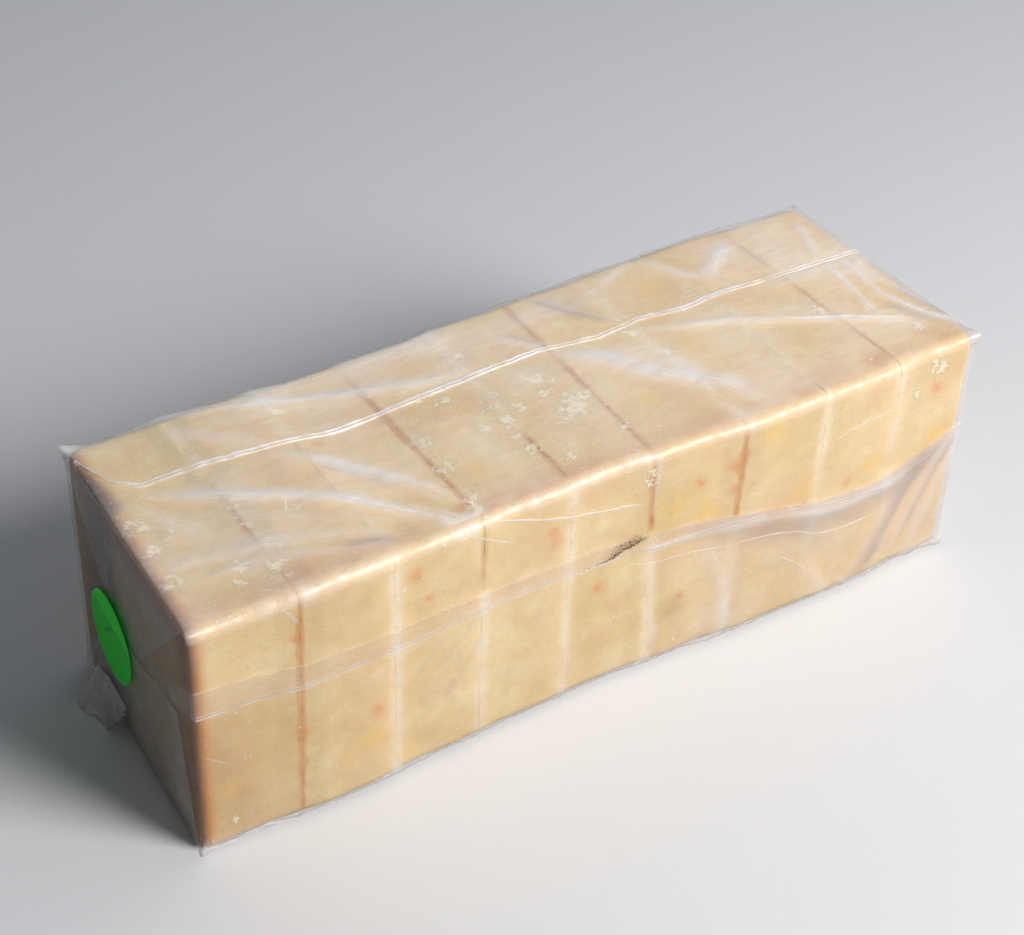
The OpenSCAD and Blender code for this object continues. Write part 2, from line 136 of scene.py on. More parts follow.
FRONT_FOLDS = [
    ([(-41, 71), (-50, 64), (-58, 56)], 1.2, 0.3, 0.08),
    ([(-41, 70), (-40, 63), (-37, 56)], 1.2, 0.3, 0.10),
    ([(-46, 44), (-56, 36), (-68, 28)], 1.3, 0.35, 0.07),
    ([(-40, 44), (-48, 34), (-56, 24)], 1.3, 0.35, 0.07),
    ([(-33, 43), (-42, 28), (-52, 14)], 1.4, 0.3, 0.06),
    ([(-54, 45), (-63, 41.5), (-72, 39)], 0.8, 0.3, 0.22),
    ([(55, 37), (66, 34), (76, 32.6), (88, 33.5), (97, 35)], 1.4, 0.5, 0.42),
    ([(10, 43.5), (28, 41.5), (42, 40), (58, 37)], 1.0, 0.4, 0.26),
    ([(108, 41), (100, 31), (94, 19), (86, 4)], 1.7, 0.9, 0.10),
    ([(113, 42), (106, 31), (99, 15), (94, 4)], 1.7, 0.9, 0.20),
    ([(100, 36), (93, 26), (86, 12), (79, 2)], 1.8, 0.6, 0.18),
    ([(116, 38), (111, 28), (106, 14), (103, 3)], 1.8, 0.6, 0.22),
    ([(66, 16), (70, 8), (74, 1)], 2.0, 0.4, 0.26),
    ([(78, 6), (82, 2), (85, -1)], 1.0, 0.3, 0.3),
    ([(30, 38), (36, 24), (38, 8)], 1.8, 0.3, 0.22),
    ([(12, 38), (13.5, 24), (16, 8)], 1.8, 0.3, 0.26),
]
# Whitish film bunched on the top front edge, there partly a painted highlight, and on the front foot: place
# along X, reach and haze
EDGE_WHITES = [(-97, 7, 0.12), (-86, 3, 0.4), (-74, 10, 0.25), (-42, 8, 0.25), (-8, 16, 0.12),
               (12, 3, 0.2), (40, 3, 0.25), (92, 8, 0.12)]
FOOT_WHITES = [(-112, 7, 0.45), (-98, 12, 0.25), (8, 8, 0.35), (24, 9, 0.3), (108, 8, 0.3),
               (-55, 14, 0.12)]
# Broad clouds in the film of the top: place along X and Y, reach along and across, and haze
TOP_CLOUDS = [(-5, 30, 16, 9, 0.26), (24, 28, 14, 8, 0.2), (75, 31, 14, 8, 0.18), (100, 26, 14, 12, 0.2),
              (103, 0, 12, 10, 0.14), (103, -24, 13, 9, 0.24), (-36, 28, 12, 7, 0.16),
              (-59, 29, 12, 6, 0.12), (22, 0, 9, 9, 0.12), (-84, 2, 9, 8, 0.12), (50, -22, 12, 9, 0.1),
              (-2, 3, 12, 8, 0.07), (-103, -5, 10, 12, 0.08)]
# Painted shade of the folds where layers of film lie over each other, and a smudge of dirt along the lap:
# face, path, half width and strength
FOLD_SHADE_AND_DIRT = [
    ("front", [(109, 41), (100, 31), (93, 18), (86, 4)], 1.7, 0.42),
    ("front", [(104, 40), (96, 30), (88, 14), (82, 4)], 1.5, 0.30),
    ("front", [(115, 43), (108, 30), (100, 12)], 1.4, 0.34),
    ("front", [(40, 39), (58, 33), (78, 29.5), (96, 32), (110, 38)], 4.2, 0.30),
    ("front", [(22, 42), (40, 38), (60, 30), (76, 20)], 3.6, 0.16),
    # a smudge of dirt along the specks in the lap
    ("front", [(0, 45), (5, 47.2), (10, 48.8)], 1.3, 0.3),
    ("front", [(-47, 44), (-54, 37), (-61, 29)], 1.0, 0.14),
    ("front", [(-40, 44), (-45, 38), (-51, 32)], 1.0, 0.14),
    ("front", [(-37, 39), (-43, 29), (-51, 19)], 1.2, 0.12),
    ("front", [(-116, 37), (-108, 20), (-100, 6)], 5.0, 0.14),
    ("top", [(-72, -30.5), (-66, -32), (-59, -34.5)], 1.4, 0.42),
    ("top", [(-64, 0), (-56, -8), (-50, -17)], 1.2, 0.20),
    ("top", [(20, 36), (27, 24), (36, 14)], 1.0, 0.34),
    ("top", [(24, 34), (28, 28), (31, 20)], 4.0, 0.22),
    ("top", [(6, 24), (9, 20), (13, 14)], 1.0, 0.26),
    ("top", [(103.5, -14), (108, -24), (114, -31)], 1.6, 0.34),
    ("top", [(111.5, -10), (113, -20), (116, -28)], 1.4, 0.38),
]
# Tight pleats, each a narrow strip of film that is folded over: face, path, width, height and haze
PLEATS = [
    ("front", [(-37, 73.5), (-28, 69.5), (-20, 66.3), (-10, 63.2), (0, 60.8), (12.5, 58.6)], 1.0, 0.28, 0.42),
    ("front", [(38, 35), (50, 33), (60, 30), (68, 26.4), (78, 25), (92, 25.4)], 0.6, 0.2, 0.4),
    ("front", [(4, 40.5), (14, 38), (25, 36.6), (38, 35)], 0.5, 0.15, 0.25),
    ("front", [(55, 23.5), (61, 18.5), (66, 14)], 0.6, 0.2, 0.34),
    ("front", [(68, 57.6), (77, 60), (90, 61)], 0.7, 0.2, 0.3),
    ("front", [(-115, 34.5), (-111, 31), (-107.5, 28)], 0.4, 0.12, 0.25),
    ("front", [(-94, 73), (-91, 69), (-89, 66)], 1.4, 0.15, 0.22),
    ("front", [(-45, 73), (-39, 69), (-33, 65), (-29, 62.6)], 0.8, 0.15, 0.3),
    ("front", [(13.6, 72), (12.6, 66), (12.2, 59), (12.4, 53)], 1.2, 0.12, 0.2),
    ("front", [(-118, 3), (-110, 2), (-101, 2.6), (-92, 2)], 1.2, 0.3, 0.4),
    ("top", [(-47, -27), (-43.5, -32), (-40, -37)], 0.8, 0.25, 0.4),
    ("top", [(-96, -33), (-93, -36), (-90, -38)], 0.8, 0.25, 0.3),
    ("top", [(75, -7.5), (88, -14), (98, -20), (106, -24.5)], 0.8, 0.25, 0.3),
    ("top", [(106, -11), (110, -22), (117, -33)], 0.8, 0.25, 0.34),
    ("top", [(-64, -14), (-57, -21), (-50, -28), (-43, -36.5)], 0.8, 0.25, 0.22),
    ("top", [(-78, -13), (-76.5, -10), (-76, -8)], 0.5, 0.15, 0.4),
]

# Places on the soap, on the front as [x, z] and on the top as [x, y], with a radius
FRONT_STAINS = [[-68, 27, 2.6], [-66.8, 28.5, 1.6], [-16, 57, 2.8], [-17, 60, 1.8], [-57, 65, 2.4],
                [-2, 35, 2.2], [105, 60.5, 2.2], [76, 40.5, 1.7], [38.5, 60, 3.2], [40, 63, 2.4],
                [27, 59, 1.6], [-53, 56, 1.1], [-60, 29, 1.3], [60, 28, 1.2], [39, 52, 1.6],
                [-89, 30, 2.2], [-89, 60, 2.0], [24, 22, 1.4]]
FRONT_YELLOWS = [[-77, 14, 2.8], [-108, 20, 3.5], [62, 44, 5], [20, 53, 5], [84, 44, 5], [108, 43, 5],
                 [30, 48, 5], [-70, 18, 6], [-60, 8, 4], [48, 68, 5], [70, 12, 5]]
FRONT_OLIVES = [[23.5, 21.5, 1.8], [22, 18, 5]]
FRONT_FLAKES = [[104.5, 68.5, 3.0], [106, 67, 2.4], [97.5, 62, 1.6], [-108, 8, 1.5], [-60, 62, 1.4],
                [12, 66, 3.0]]
TOP_YELLOWS = [[-28.5, -20, 3.4], [-26, -5, 4], [-20, 2, 3], [48, -4, 5], [70, 2, 5], [84, 5, 4],
               [25, -17, 4], [52, 24, 7]]
CRUMBLY = [(-118, 1.0), (-86, 0.9), (-62, 0.45), (-48, 0.3), (-40, 0.8), (-6, 0.9), (8, 0.8), (22, 0.3),
           (115, 0.35)]
TOP_STAINS = [[-31, -31.5, 2.4], [-33, -34.5, 3.6], [-17, -33.5, 3.4], [-24, -34, 3.0], [-58, 8, 1.8],
              [-9, -34, 2.6], [-61, 6, 1.6], [85, -34, 3.0], [-92, -34.5, 2.5], [-84, -33.5, 3.0],
              [60, -35, 3], [-39, -31, 2.2], [104, -29, 2.0], [50, -26, 2.4], [34.5, 34, 1.6],
              [35, 30, 1.2]]
TOP_FLAKES = [[5, 2, 3.2], [3, -2, 2.6], [10, -7, 3.0], [4, -13, 3.4], [-14, -13, 2.2], [-37, -33, 2.6],
              [-11, 12, 2.4], [-10, 22, 3.0], [-30, 33, 2.4], [40, -2, 2.2], [41, -20, 2.4],
              [64, -10, 2.0], [66, 4, 2.0], [-104, 0, 3.0], [-96, -22, 2.4], [-88, -28, 3.0],
              [-110, -8, 2.6], [-111, -20, 3.0], [12, -24, 2.0], [-60, 25, 2.2], [-19.5, -7, 2.5],
              [-12.5, -6.5, 3.4], [-22.5, 8, 2.8], [-12, -1, 2.6], [-9, 4, 2.2], [4, 5, 4.6],
              [7, -10, 4.6], [-7, -3, 2], [-13, -20, 2.4], [-6, -27, 1.6], [-98, -28, 1.6], [-87, -2, 2.6],
              [-87.5, -12, 2.8], [-86, -20, 2.6], [-110, 2, 3.4], [-105, -4, 2.4], [-35, -5, 2.6],
              [-35, -16, 3], [-36, -28, 2.6], [86, -5, 2.6], [86, -9, 2], [-75, -12, 1.4], [-67, -18, 1.2],
              [36, 10, 2.6], [105, -28, 2.6], [-2, -15, 1.6], [-28, 10.5, 1.6], [62, 14, 2.4],
              [-59, 4.5, 1.0], [-61, 26, 2.2]]
# Colour of the seam between two cakes along the front and along the top: above 0 brown, below 0 pale
FRONT_SEAMS = [[(0, 0.75), (40, 0.9), (62, 1.0), (73, 0.7)], [(0, -0.7), (73, -0.9)],
               [(0, -0.5), (50, -0.6), (56, 0.5), (73, 0.35)], [(0, -0.6), (73, -0.6)],
               [(0, -0.7), (46, -0.5), (50, 0.8), (73, 0.8)], [(0, -0.4), (40, -0.4), (44, 0.9), (73, 0.8)],
               [(0, -0.1), (40, -0.5), (58, -0.9), (73, -0.6)], [(0, -0.2), (40, -0.4), (73, -0.8)]]
TOP_SEAMS = [[(-38, 0.5), (-22, 0.2), (-15, 0.75), (8, 0.6), (12, -0.6), (38, -0.8)],
             [(-38, -0.2), (0, -0.3), (8, 0.4), (14, -0.8), (38, -0.9)],
             [(-38, 0.3), (-30, 0.7), (-8, 0.7), (0, 1.2), (20, 1.25), (27, 0.3), (38, -0.1)],
             [(-38, 0.3), (-33, 0.9), (-16, 0.7), (-10, -0.5), (38, -0.8)],
             [(-38, 0.8), (-8, 0.6), (0, 1.1), (10, 0.5), (15, 0.5), (26, 1.1), (38, 0.8)],
             [(-38, -0.6), (0, -0.6), (38, -0.3)],
             [(-38, -0.1), (10, -0.5), (38, -0.1)],
             [(-38, 0.2), (-24, 0.6), (-10, 0.3), (0, 0.6), (10, -0.1), (20, 0.5), (38, 0.2)]]
# How far the film points out at the corners of an end, and how strongly at the front foot, front top, back
# top and back foot
EAR_REACH = 2.6
LEFT_EARS = [0.7, 0.35, 1.0, 0.3]
RIGHT_EARS = [0.8, 0.8, 0.3, 0.3]
# Haze of the folded ends, and their flaps: side of the loaf, the edge that each hangs on and its free edge,
# both as [share across, y, z], then its height over the sheet below and its haze
END_HAZE = 0.1
END_FLAPS = [
    (-1, [[0, -36, 72.5], [1, 36, 73]], [[0, -6, 38.5], [0.5, 1, 37.5], [1, 7, 37.8]], 0.25, 0.12),
    (-1, [[0, -37, 1.2], [1, 37, 1.2]], [[0, -31, 43.5], [0.18, -20, 43.8], [0.35, -11, 40], [0.55, 6, 38.4],
                                        [0.8, 20, 26], [1, 33, 12]], 0.5, 0.22),
    (1, [[0, -37, 73], [1, 37, 72.5]], [[0, -6, 36], [1, 6, 36]], 0.2, 0.22),
    (1, [[0, -37, 1.2], [1, 37, 1.2]], [[0, -8, 39], [0.5, 0, 44], [1, 8, 39]], 0.4, 0.26),
]
# The tab's upper edge on the end, the ridge of its facets and its lower edge on the floor, as [x, y, z]
TAB_EDGES = [
    [(-116.5, 23, 13.5), (-116.5, 22.2, 14), (-116.5, 18, 15.2), (-116.5, 14.5, 15.8), (-116.5, 9, 14.5),
     (-116.5, 4.5, 13)],
    [(-119.4, 25, 6), (-119.8, 22.5, 6.5), (-118.2, 19, 6), (-119, 15.5, 6.5), (-117.8, 11.5, 8),
     (-116.8, 6, 11.5)],
    [(-122, 26.1, 0.3), (-121.6, 21.2, 0.4), (-119.8, 18.2, 0.9), (-118.9, 13, 0.3), (-117.4, 8.5, 6.5),
     (-116.7, 4.5, 12)],
]
# Rings of points of the label and points of each ring, half its thickness, the height of its crease, and the
# short slit below the crease as [y, z]
LABEL_RINGS = 26
LABEL_POINTS = 96
LABEL_HALF_T = 0.1
LABEL_CREASE_Z = 40.0
LABEL_SLIT = [(9.5, 37.2), (11.5, 35.2), (14, 33.4)]
# How creamy the top front edge of the soap is along X, partly pale soap and partly a painted highlight, and
# the fold of film behind which the soap's left back corner gets a painted brown shadow, as [y, x]
EDGE_CREAM_AND_HIGHLIGHT = [(-115, 0.3), (-101, 0.6), (-88, 1), (-64, 0.8), (-50, 0.5), (-42, 0.8), (-25, 0.7), (8, 0.9),
              (13, 0.6), (17, 0.15), (115, 0.1)]
CORNER_FOLD = [(9, -112), (12.5, -103), (14.4, -105.8), (16.8, -109.2), (21, -111.3), (26.5, -113.4),
               (34.2, -114.9)]
# Specks of dirt in the fold of the lap: path along X and Z and the points on it, the number of the specks,
# one in how many lies loose, and the corners of a speck
DIRT_PATH = [(-8, 44.1), (-3.4, 44.3), (1.2, 44.6), (4, 45.8), (7, 46.7), (11, 48.2)]
DIRT_STEPS = 60
DIRT_SPECKS = 230
LOOSE_EVERY = 3
SPECK_CORNERS = 6

# The camera at the photograph's viewing angle: its place, its three directions and its lens
CAMERA_AT = (-0.24854, -0.369266, 0.404608)
CAMERA_RIGHT = (0.847705, -0.529685, 0.028807)
CAMERA_UP = (0.312369, 0.54233, 0.779938)
CAMERA_BACK = (-0.428745, -0.652159, 0.625193)
CAMERA_LENS = 75.889
SENSOR_W = 36.0
# Half the width of the floor, its colour where it is seen, and the colour of the light that it throws back
FLOOR_HALF = 4000.0
FLOOR_SEEN = (232, 232, 234)
FLOOR_THROWN = (118, 116, 114)
# The lamp: its direction from the loaf, distance and size in metres and power in watts, and the height in
# metres that it aims at
KEY_TOWARDS = (0.40, -0.71, 0.56)
KEY_AWAY = 1.1
KEY_SIZE = 0.55
KEY_POWER = 13.4
AIM_Z = 0.037
# The world: colour and strength, dim on the left and bright on the right, of the light that it gives, and
# colour and strength where it is seen
WORLD_LIGHT = (240, 248, 255)
WORLD_DIM = 0.045
WORLD_BRIGHT = 0.39
WORLD_SEEN = (232, 238, 245)
WORLD_SEEN_STRENGTH = 0.9


def ease(t):
    """Smooth step from 0 to 1."""
    t = np.clip(t, 0, 1)
    return t * t * (3 - 2 * t)


def mix(a, b, t):
    return a + (b - a) * t


def lookup(x, table):
    """Value of a table of [place, value] at x, with straight lines between its points."""
    places, values = zip(*table)
    return np.interp(x, places, values)


def field(points, pitch, seed=0.0, octaves=3):
    """Smooth noise of about -1 to 1 at a grid of points in millimetres, with features of the given pitch."""
    points = np.asarray(points, float)
    scale = 1.0 / pitch
    values = []
    for x, y, z in points.reshape(-1, 3):
        place = Vector((x * scale + seed, y * scale - seed, z * scale + 2 * seed))
        values.append(noise.fractal(place, 0.9, 2.1, octaves))
    return np.array(values).reshape(points.shape[:-1])


# Shape of the loaf, read from the frame's cakes

def plane_through(points):
    """The plane x = a + b y + c z that fits points best."""
    rows = np.c_[np.ones(len(points)), points[:, 1:]]
    return np.linalg.lstsq(rows, points[:, 0], rcond=None)[0]


def place_on(plane, y, z):
    """Place along X of a plane, or of an array of planes, at y and z."""
    return plane[..., 0] + plane[..., 1] * y + plane[..., 2] * z


def mesh_points(node):
    """The points of a solid of the frame, in millimetres."""
    return np.array([v.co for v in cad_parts[node].data.vertices], float) / MM


def cut_faces(node):
    """The planes of a cake's two cut faces, left and right."""
    points = mesh_points(node)
    middle = points[:, 0].mean()
    planes = []
    for side in (-1, 1):
        half = points[(points[:, 0] - middle) * side > 0]
        rough = plane_through(half)
        face = half[(half[:, 0] - place_on(rough, half[:, 1], half[:, 2])) * side > 0]
        planes.append(plane_through(face))
    return planes


def read_loaf():
    """Cut planes between the cakes and at both ends, each cake's two faces, and its front, back and top."""
    faces = [cut_faces(node) for node in CAKES]
    boxes = [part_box(node) for node in CAKES]
    cuts = [faces[0][0]]
    cuts += [(faces[i][1] + faces[i + 1][0]) / 2 for i in range(CAKE_COUNT - 1)]
    cuts.append(faces[-1][1])
    levels = {
        "front": np.array([low.y for low, high in boxes]) / MM,
        "back": np.array([high.y for low, high in boxes]) / MM,
        "top": np.array([high.z for low, high in boxes]) / MM,
    }
    return np.array(cuts), faces, levels, boxes[0][0].z / MM


CUTS, CAKE_FACES, LEVELS, FOOT_Z = read_loaf()
LOAF_L = CAKE_COUNT * CAKE_T + (CAKE_COUNT - 1) * CUT_GAP
MIDDLE = np.array([0, 0, FOOT_Z + LOAF_H / 2])


def cover(heights, u):
    """Height of the film over the cakes at u, counted in cakes: it spans from high cakes to lower ones."""
    middle = np.arange(CAKE_COUNT) + 0.5
    fall = FILM_SLOPE * CAKE_T * np.maximum(0, np.abs(np.asarray(u)[..., None] - middle) - 0.5)
    return (heights - fall).max(-1)


def face_front(u, d):
    return -(cover(-LEVELS["front"], u) + d)


def face_back(u, d):
    return cover(LEVELS["back"], u) + d


def face_top(u, d):
    return cover(LEVELS["top"], u) + d


def loaf_x(u, y, z):
    """Place along X of a point u cakes along the loaf, between the leaning cuts on its two sides."""
    i = np.clip(np.floor(u).astype(int), 0, CAKE_COUNT - 1)
    return mix(place_on(CUTS[i], y, z), place_on(CUTS[i + 1], y, z), u - i)


def cakes_along(x):
    """How many cakes along the loaf a place along X lies."""
    return np.clip((x + LOAF_L / 2) / (LOAF_L / CAKE_COUNT), 0, CAKE_COUNT)


def to_path(p, q, path):
    """Distance of points (p, q) from a run of straight stretches, below 0 on its right side, and how far
    along the run the nearest place lies, as a share of its length and in millimetres."""
    path = np.array(path, float)
    steps = np.linalg.norm(np.diff(path, axis=0), axis=1)
    starts = np.r_[0, np.cumsum(steps)]
    best = np.full(np.shape(p), 1e9)
    share, side = np.zeros(np.shape(p)), np.ones(np.shape(p))
    for k in range(len(path) - 1):
        (ax, ay), (bx, by) = path[k], path[k + 1]
        dx, dy = bx - ax, by - ay
        t = np.clip(((p - ax) * dx + (q - ay) * dy) / (dx * dx + dy * dy), 0, 1)
        away = np.hypot(p - ax - t * dx, q - ay - t * dy)
        near = away < best
        best = np.where(near, away, best)
        share = np.where(near, (starts[k] + t * steps[k]) / starts[-1], share)
        side = np.where(near, np.where(dx * (q - ay) - dy * (p - ax) < 0, -1, 1), side)
    return best * side, share, share * starts[-1]


def smooth_path(path, count):
    """A run of points on a smooth curve through the given ones."""
    path = np.array(path, float)
    at = np.linspace(0, len(path) - 1, count)
    padded = np.vstack([2 * path[0] - path[1], path, 2 * path[-1] - path[-2]])
    out = []
    for a in at:
        i = min(int(a), len(path) - 2)
        t = a - i
        p0, p1, p2, p3 = padded[i:i + 4]
        out.append(0.5 * (2 * p1 + (p2 - p0) * t + (2 * p0 - 5 * p1 + 4 * p2 - p3) * t ** 2
                          + (3 * p1 - p0 - 3 * p2 + p3) * t ** 3))
    return np.array(out)


# Meshes

class Patchwork:
    """Collects grids of points, which may carry values, and makes one mesh of them that faces outward."""

    def __init__(self):
        self.points, self.faces, self.values, self.count = [], [], {}, 0

    def grid(self, points, wrap=False, **values):
        """Adds rows of points as a grid. With wrap, each row is closed."""
        rows, columns = points.shape[:2]
        index = np.arange(rows * columns).reshape(rows, columns) + self.count
        if wrap:
            index = np.c_[index, index[:, :1]]
        corners = [index[:-1, :-1], index[:-1, 1:], index[1:, 1:], index[1:, :-1]]
        flat = points.reshape(-1, 3)
        a, b, c, d = (flat[corner - self.count] for corner in corners)
        if (np.cross(c - a, d - b) * (a - MIDDLE)).sum() < 0:
            corners.reverse()
        self.faces.append(np.stack(corners, -1).reshape(-1, 4))
        self.points.append(flat)
        for name, value in values.items():
            full = np.broadcast_to(value, (rows, columns)).reshape(-1)
            self.values.setdefault(name, []).append(full)
        self.count += rows * columns

    def build(self, name):
        """The object, in metres."""
        points = np.vstack(self.points) * MM
        faces = np.vstack(self.faces)
        mesh = bpy.data.meshes.new(name)
        mesh.from_pydata([], [], [])
        mesh.vertices.add(len(points))
        mesh.vertices.foreach_set("co", points.astype(np.float32).reshape(-1))
        mesh.loops.add(faces.size)
        mesh.loops.foreach_set("vertex_index", faces.reshape(-1).astype(np.int32))
        mesh.polygons.add(len(faces))
        mesh.polygons.foreach_set("loop_start", np.arange(0, faces.size, 4, dtype=np.int32))
        mesh.polygons.foreach_set("loop_total", np.full(len(faces), 4, dtype=np.int32))
        mesh.update(calc_edges=True)
        for key, parts in self.values.items():
            layer = mesh.attributes.new(key, "FLOAT", "POINT")
            layer.data.foreach_set("value", np.concatenate(parts).astype(np.float32))
        mesh.validate()
        mesh.shade_smooth()
        piece = bpy.data.objects.new(name, mesh)
        bpy.context.scene.collection.objects.link(piece)
        return piece


# Soap

# Points round a cake's section and on each of its corners
SECTION_POINTS = 236
CORNER_POINTS = 12
# How far smeared soap closes a cut from each side, and how close to it a cake turns to its neighbour's size
SEAM_SPREAD = 0.145
SEAM_BLEND = 7.0
# Rings of a cake from the end of a rim's bevel inward and along its middle, and those of its cut faces as
# shares of the way to the middle
RIM_STEPS = np.array([0, 0.3, 0.65, 1.05, 1.6])
INNER_FROM = 5.2
INNER_ROWS = 15
CUT_SHARES = [0.02, 0.05, 0.1, 0.15, 0.2, 0.25, *np.linspace(0.3, 1, 10)]


def rounded_section(front, back, low, high, r, count):
    """Points round a rounded rectangle in Y and Z, evenly spaced, starting at the middle of the foot."""
    width, height = back - front - 2 * r, high - low - 2 * r
    corners = [(back - r, low + r), (back - r, high - r), (front + r, high - r), (front + r, low + r)]
    run = []
    for k, (cy, cz) in enumerate(corners):
        for g in np.radians(np.linspace(-90, 0, CORNER_POINTS) + 90 * k):
            run.append((cy + r * math.cos(g), cz + r * math.sin(g)))
    run = np.array(run + run[:1])
    steps = np.r_[0, np.cumsum(np.linalg.norm(np.diff(run, axis=0), axis=1))]
    at = (np.arange(count) / count * steps[-1] + width / 2) % steps[-1]
    return np.c_[np.interp(at, steps, run[:, 0]), np.interp(at, steps, run[:, 1])]


def seam_mark(x, y, z, cake, on_front, wave):
    """The smeared seams at a cake's cuts: above 0 brown, below 0 pale."""
    seam = np.zeros(x.shape)
    for side, index in ((0, cake - 1), (1, cake)):
        if not 0 <= index < CAKE_COUNT - 1:
            continue
        strength = mix(lookup(y, TOP_SEAMS[index]), lookup(z, FRONT_SEAMS[index]), on_front)
        away = np.abs(place_on(CAKE_FACES[cake][side], y, z) - x)
        away = away + 0.35 * wave * (away > 0.4)
        near = strength * np.exp(-(away / np.where(strength > 0, 0.95, 1.9)) ** 2)
        seam = np.where(np.abs(near) > np.abs(seam), near, seam)
    return seam


def soap_marks(points, cake):
    """How strongly each kind of mark shows at points of the soap's skin."""
    x, y, z = points[..., 0], points[..., 1], points[..., 2]
    behind, below = y - LEVELS["front"][cake], LEVELS["top"][cake] - z
    on_front, on_top = ease((5 - behind) / 4), ease((5 - below) / 4)
    wave = 1.2 * field(points, 3.0, 21.0, 2)
    grain = field(points, 7.0, 12.5)

    def spots(front, top, reach=0.8, edge=1):
        """Round marks: a higher edge gives each a flat middle and a steeper rim."""
        found = np.zeros(x.shape)
        for on, q, places in ((on_front, z, front), (on_top, y, top)):
            for sx, sq, r in places:
                away = ((x - sx + wave) ** 2 + (q - sq - wave) ** 2) / (reach * r) ** 2
                found = np.maximum(found, on * np.exp(-away ** edge))
        return found

    def edge_band(start, reach):
        """1 by the front and top edges as far as start, and fading to 0 below and behind it."""
        return np.exp(-(np.clip(np.minimum(behind, below) - start, 0, None) / reach) ** 2)

    to_edge = behind ** 2 + below ** 2
    cream = lookup(x, EDGE_CREAM_AND_HIGHLIGHT)
    fold_x = lookup(y, CORNER_FOLD)
    past_end = np.maximum(place_on(CUTS[0], y, z) - x, x - place_on(CUTS[-1], y, z)) + 0.8
    crumbly_front = 0.6 * on_front * ease((z - 50) / 20) * ease((-88 - x) / 6)
    return {
        "blush": on_top * np.exp(-((y + 33.5 + 1.5 * grain) / 4.2) ** 2) * np.clip(0.6 + 0.7 * grain, 0, 1),
        # painted shadow: brown on the soap's left back top corner, in the pocket where the film lifts off
        # behind its fold
        "corner": ease((fold_x - x + 4.0) / 5.0) * ease((-107.5 - x) / 5.0) * ease((y - 7) / 4),
        # partly wear, partly painted shade that tones down the light falling on the rounded top front edge
        "edge_wear_and_shade": np.exp(-to_edge / 10.0) * (1 - 0.8 * cream),
        # painted shade: dark red-brown on the left end's face near its front and top edges, where the end
        # lies in shadow
        "painted_end_shade": ease((past_end - 0.3) / 0.8) * edge_band(2, 6.0) * (x < 0),
        # painted shade: darker low on the left of the front
        "painted_shade_low_left": on_front * ease((-84 - x) / 26) * ease((52 - z) / 12),
        # painted glow: orange at the edges of the left end, standing in for light that shines through the
        # soap
        "glow": ease((past_end + 4.2) / 4.6) * edge_band(1, 7.0) * np.where(x < 0, 1, 0.2),
        "stain": spots(FRONT_STAINS, TOP_STAINS),
        "yellow": spots(FRONT_YELLOWS, TOP_YELLOWS),
        "olive": spots(FRONT_OLIVES, []),
        "flake": spots(FRONT_FLAKES, TOP_FLAKES, 1.15, 1.5),
        "crumbly": on_top * lookup(x, CRUMBLY) + crumbly_front,
        "seam": seam_mark(x, y, z, cake, on_front, wave),
        # partly pale soap, partly a painted highlight along the top front edge
        "edge": cream * np.exp(-to_edge / 9.0),
    }


def worn_rim(cake, side, whole):
    """How far a rim is worn, from 0 where soap is smeared over the cut to 1 where the cut is open."""
    seam = cake - 1 if side == 0 else cake
    if not 0 <= seam < CAKE_COUNT - 1:
        return np.ones(SECTION_POINTS)
    y, z = whole.T
    on_front = y < LEVELS["front"][cake] + 2
    strength = np.where(on_front, lookup(z, FRONT_SEAMS[seam]), lookup(y, TOP_SEAMS[seam]))
    grain = field(np.c_[np.full(SECTION_POINTS, 40.0 * seam), whole], 3.0, 5.5, 2)
    return np.clip(0.03 + 0.07 * np.clip(strength, -0.3, 1) + 0.22 * grain, 0.01, 0.3)


def uneven_skin(skin, cake):
    """Moves the skin's points in and out a little, and wears the top front edge away in places."""
    front, back, top = (LEVELS[k][cake] for k in ("front", "back", "top"))
    flat = skin.reshape(-1, 3)
    low = [flat[:, 0].min() + 1.2, front + EDGE_R, FOOT_Z + EDGE_R]
    high = [flat[:, 0].max() - 1.2, back - EDGE_R, top - EDGE_R]
    outward = flat - np.clip(flat, low, high)
    size = np.linalg.norm(outward, axis=1, keepdims=True)
    outward = outward / np.maximum(size, 1e-6)
    bumps = 0.10 * field(flat, 9.0, 3.1 + cake) + 0.05 * field(flat, 2.6, 7.7, 2)
    wear = np.clip(field(flat, 3.2, 11.3 + cake), -1, 0.1)
    edge = np.exp(-((flat[:, 1] - front) ** 2 + (flat[:, 2] - top) ** 2) / 14.0)
    moved = flat + outward * (bumps + 0.35 * wear * edge - 0.06)[:, None] * (size > 0)
    return moved.reshape(skin.shape)


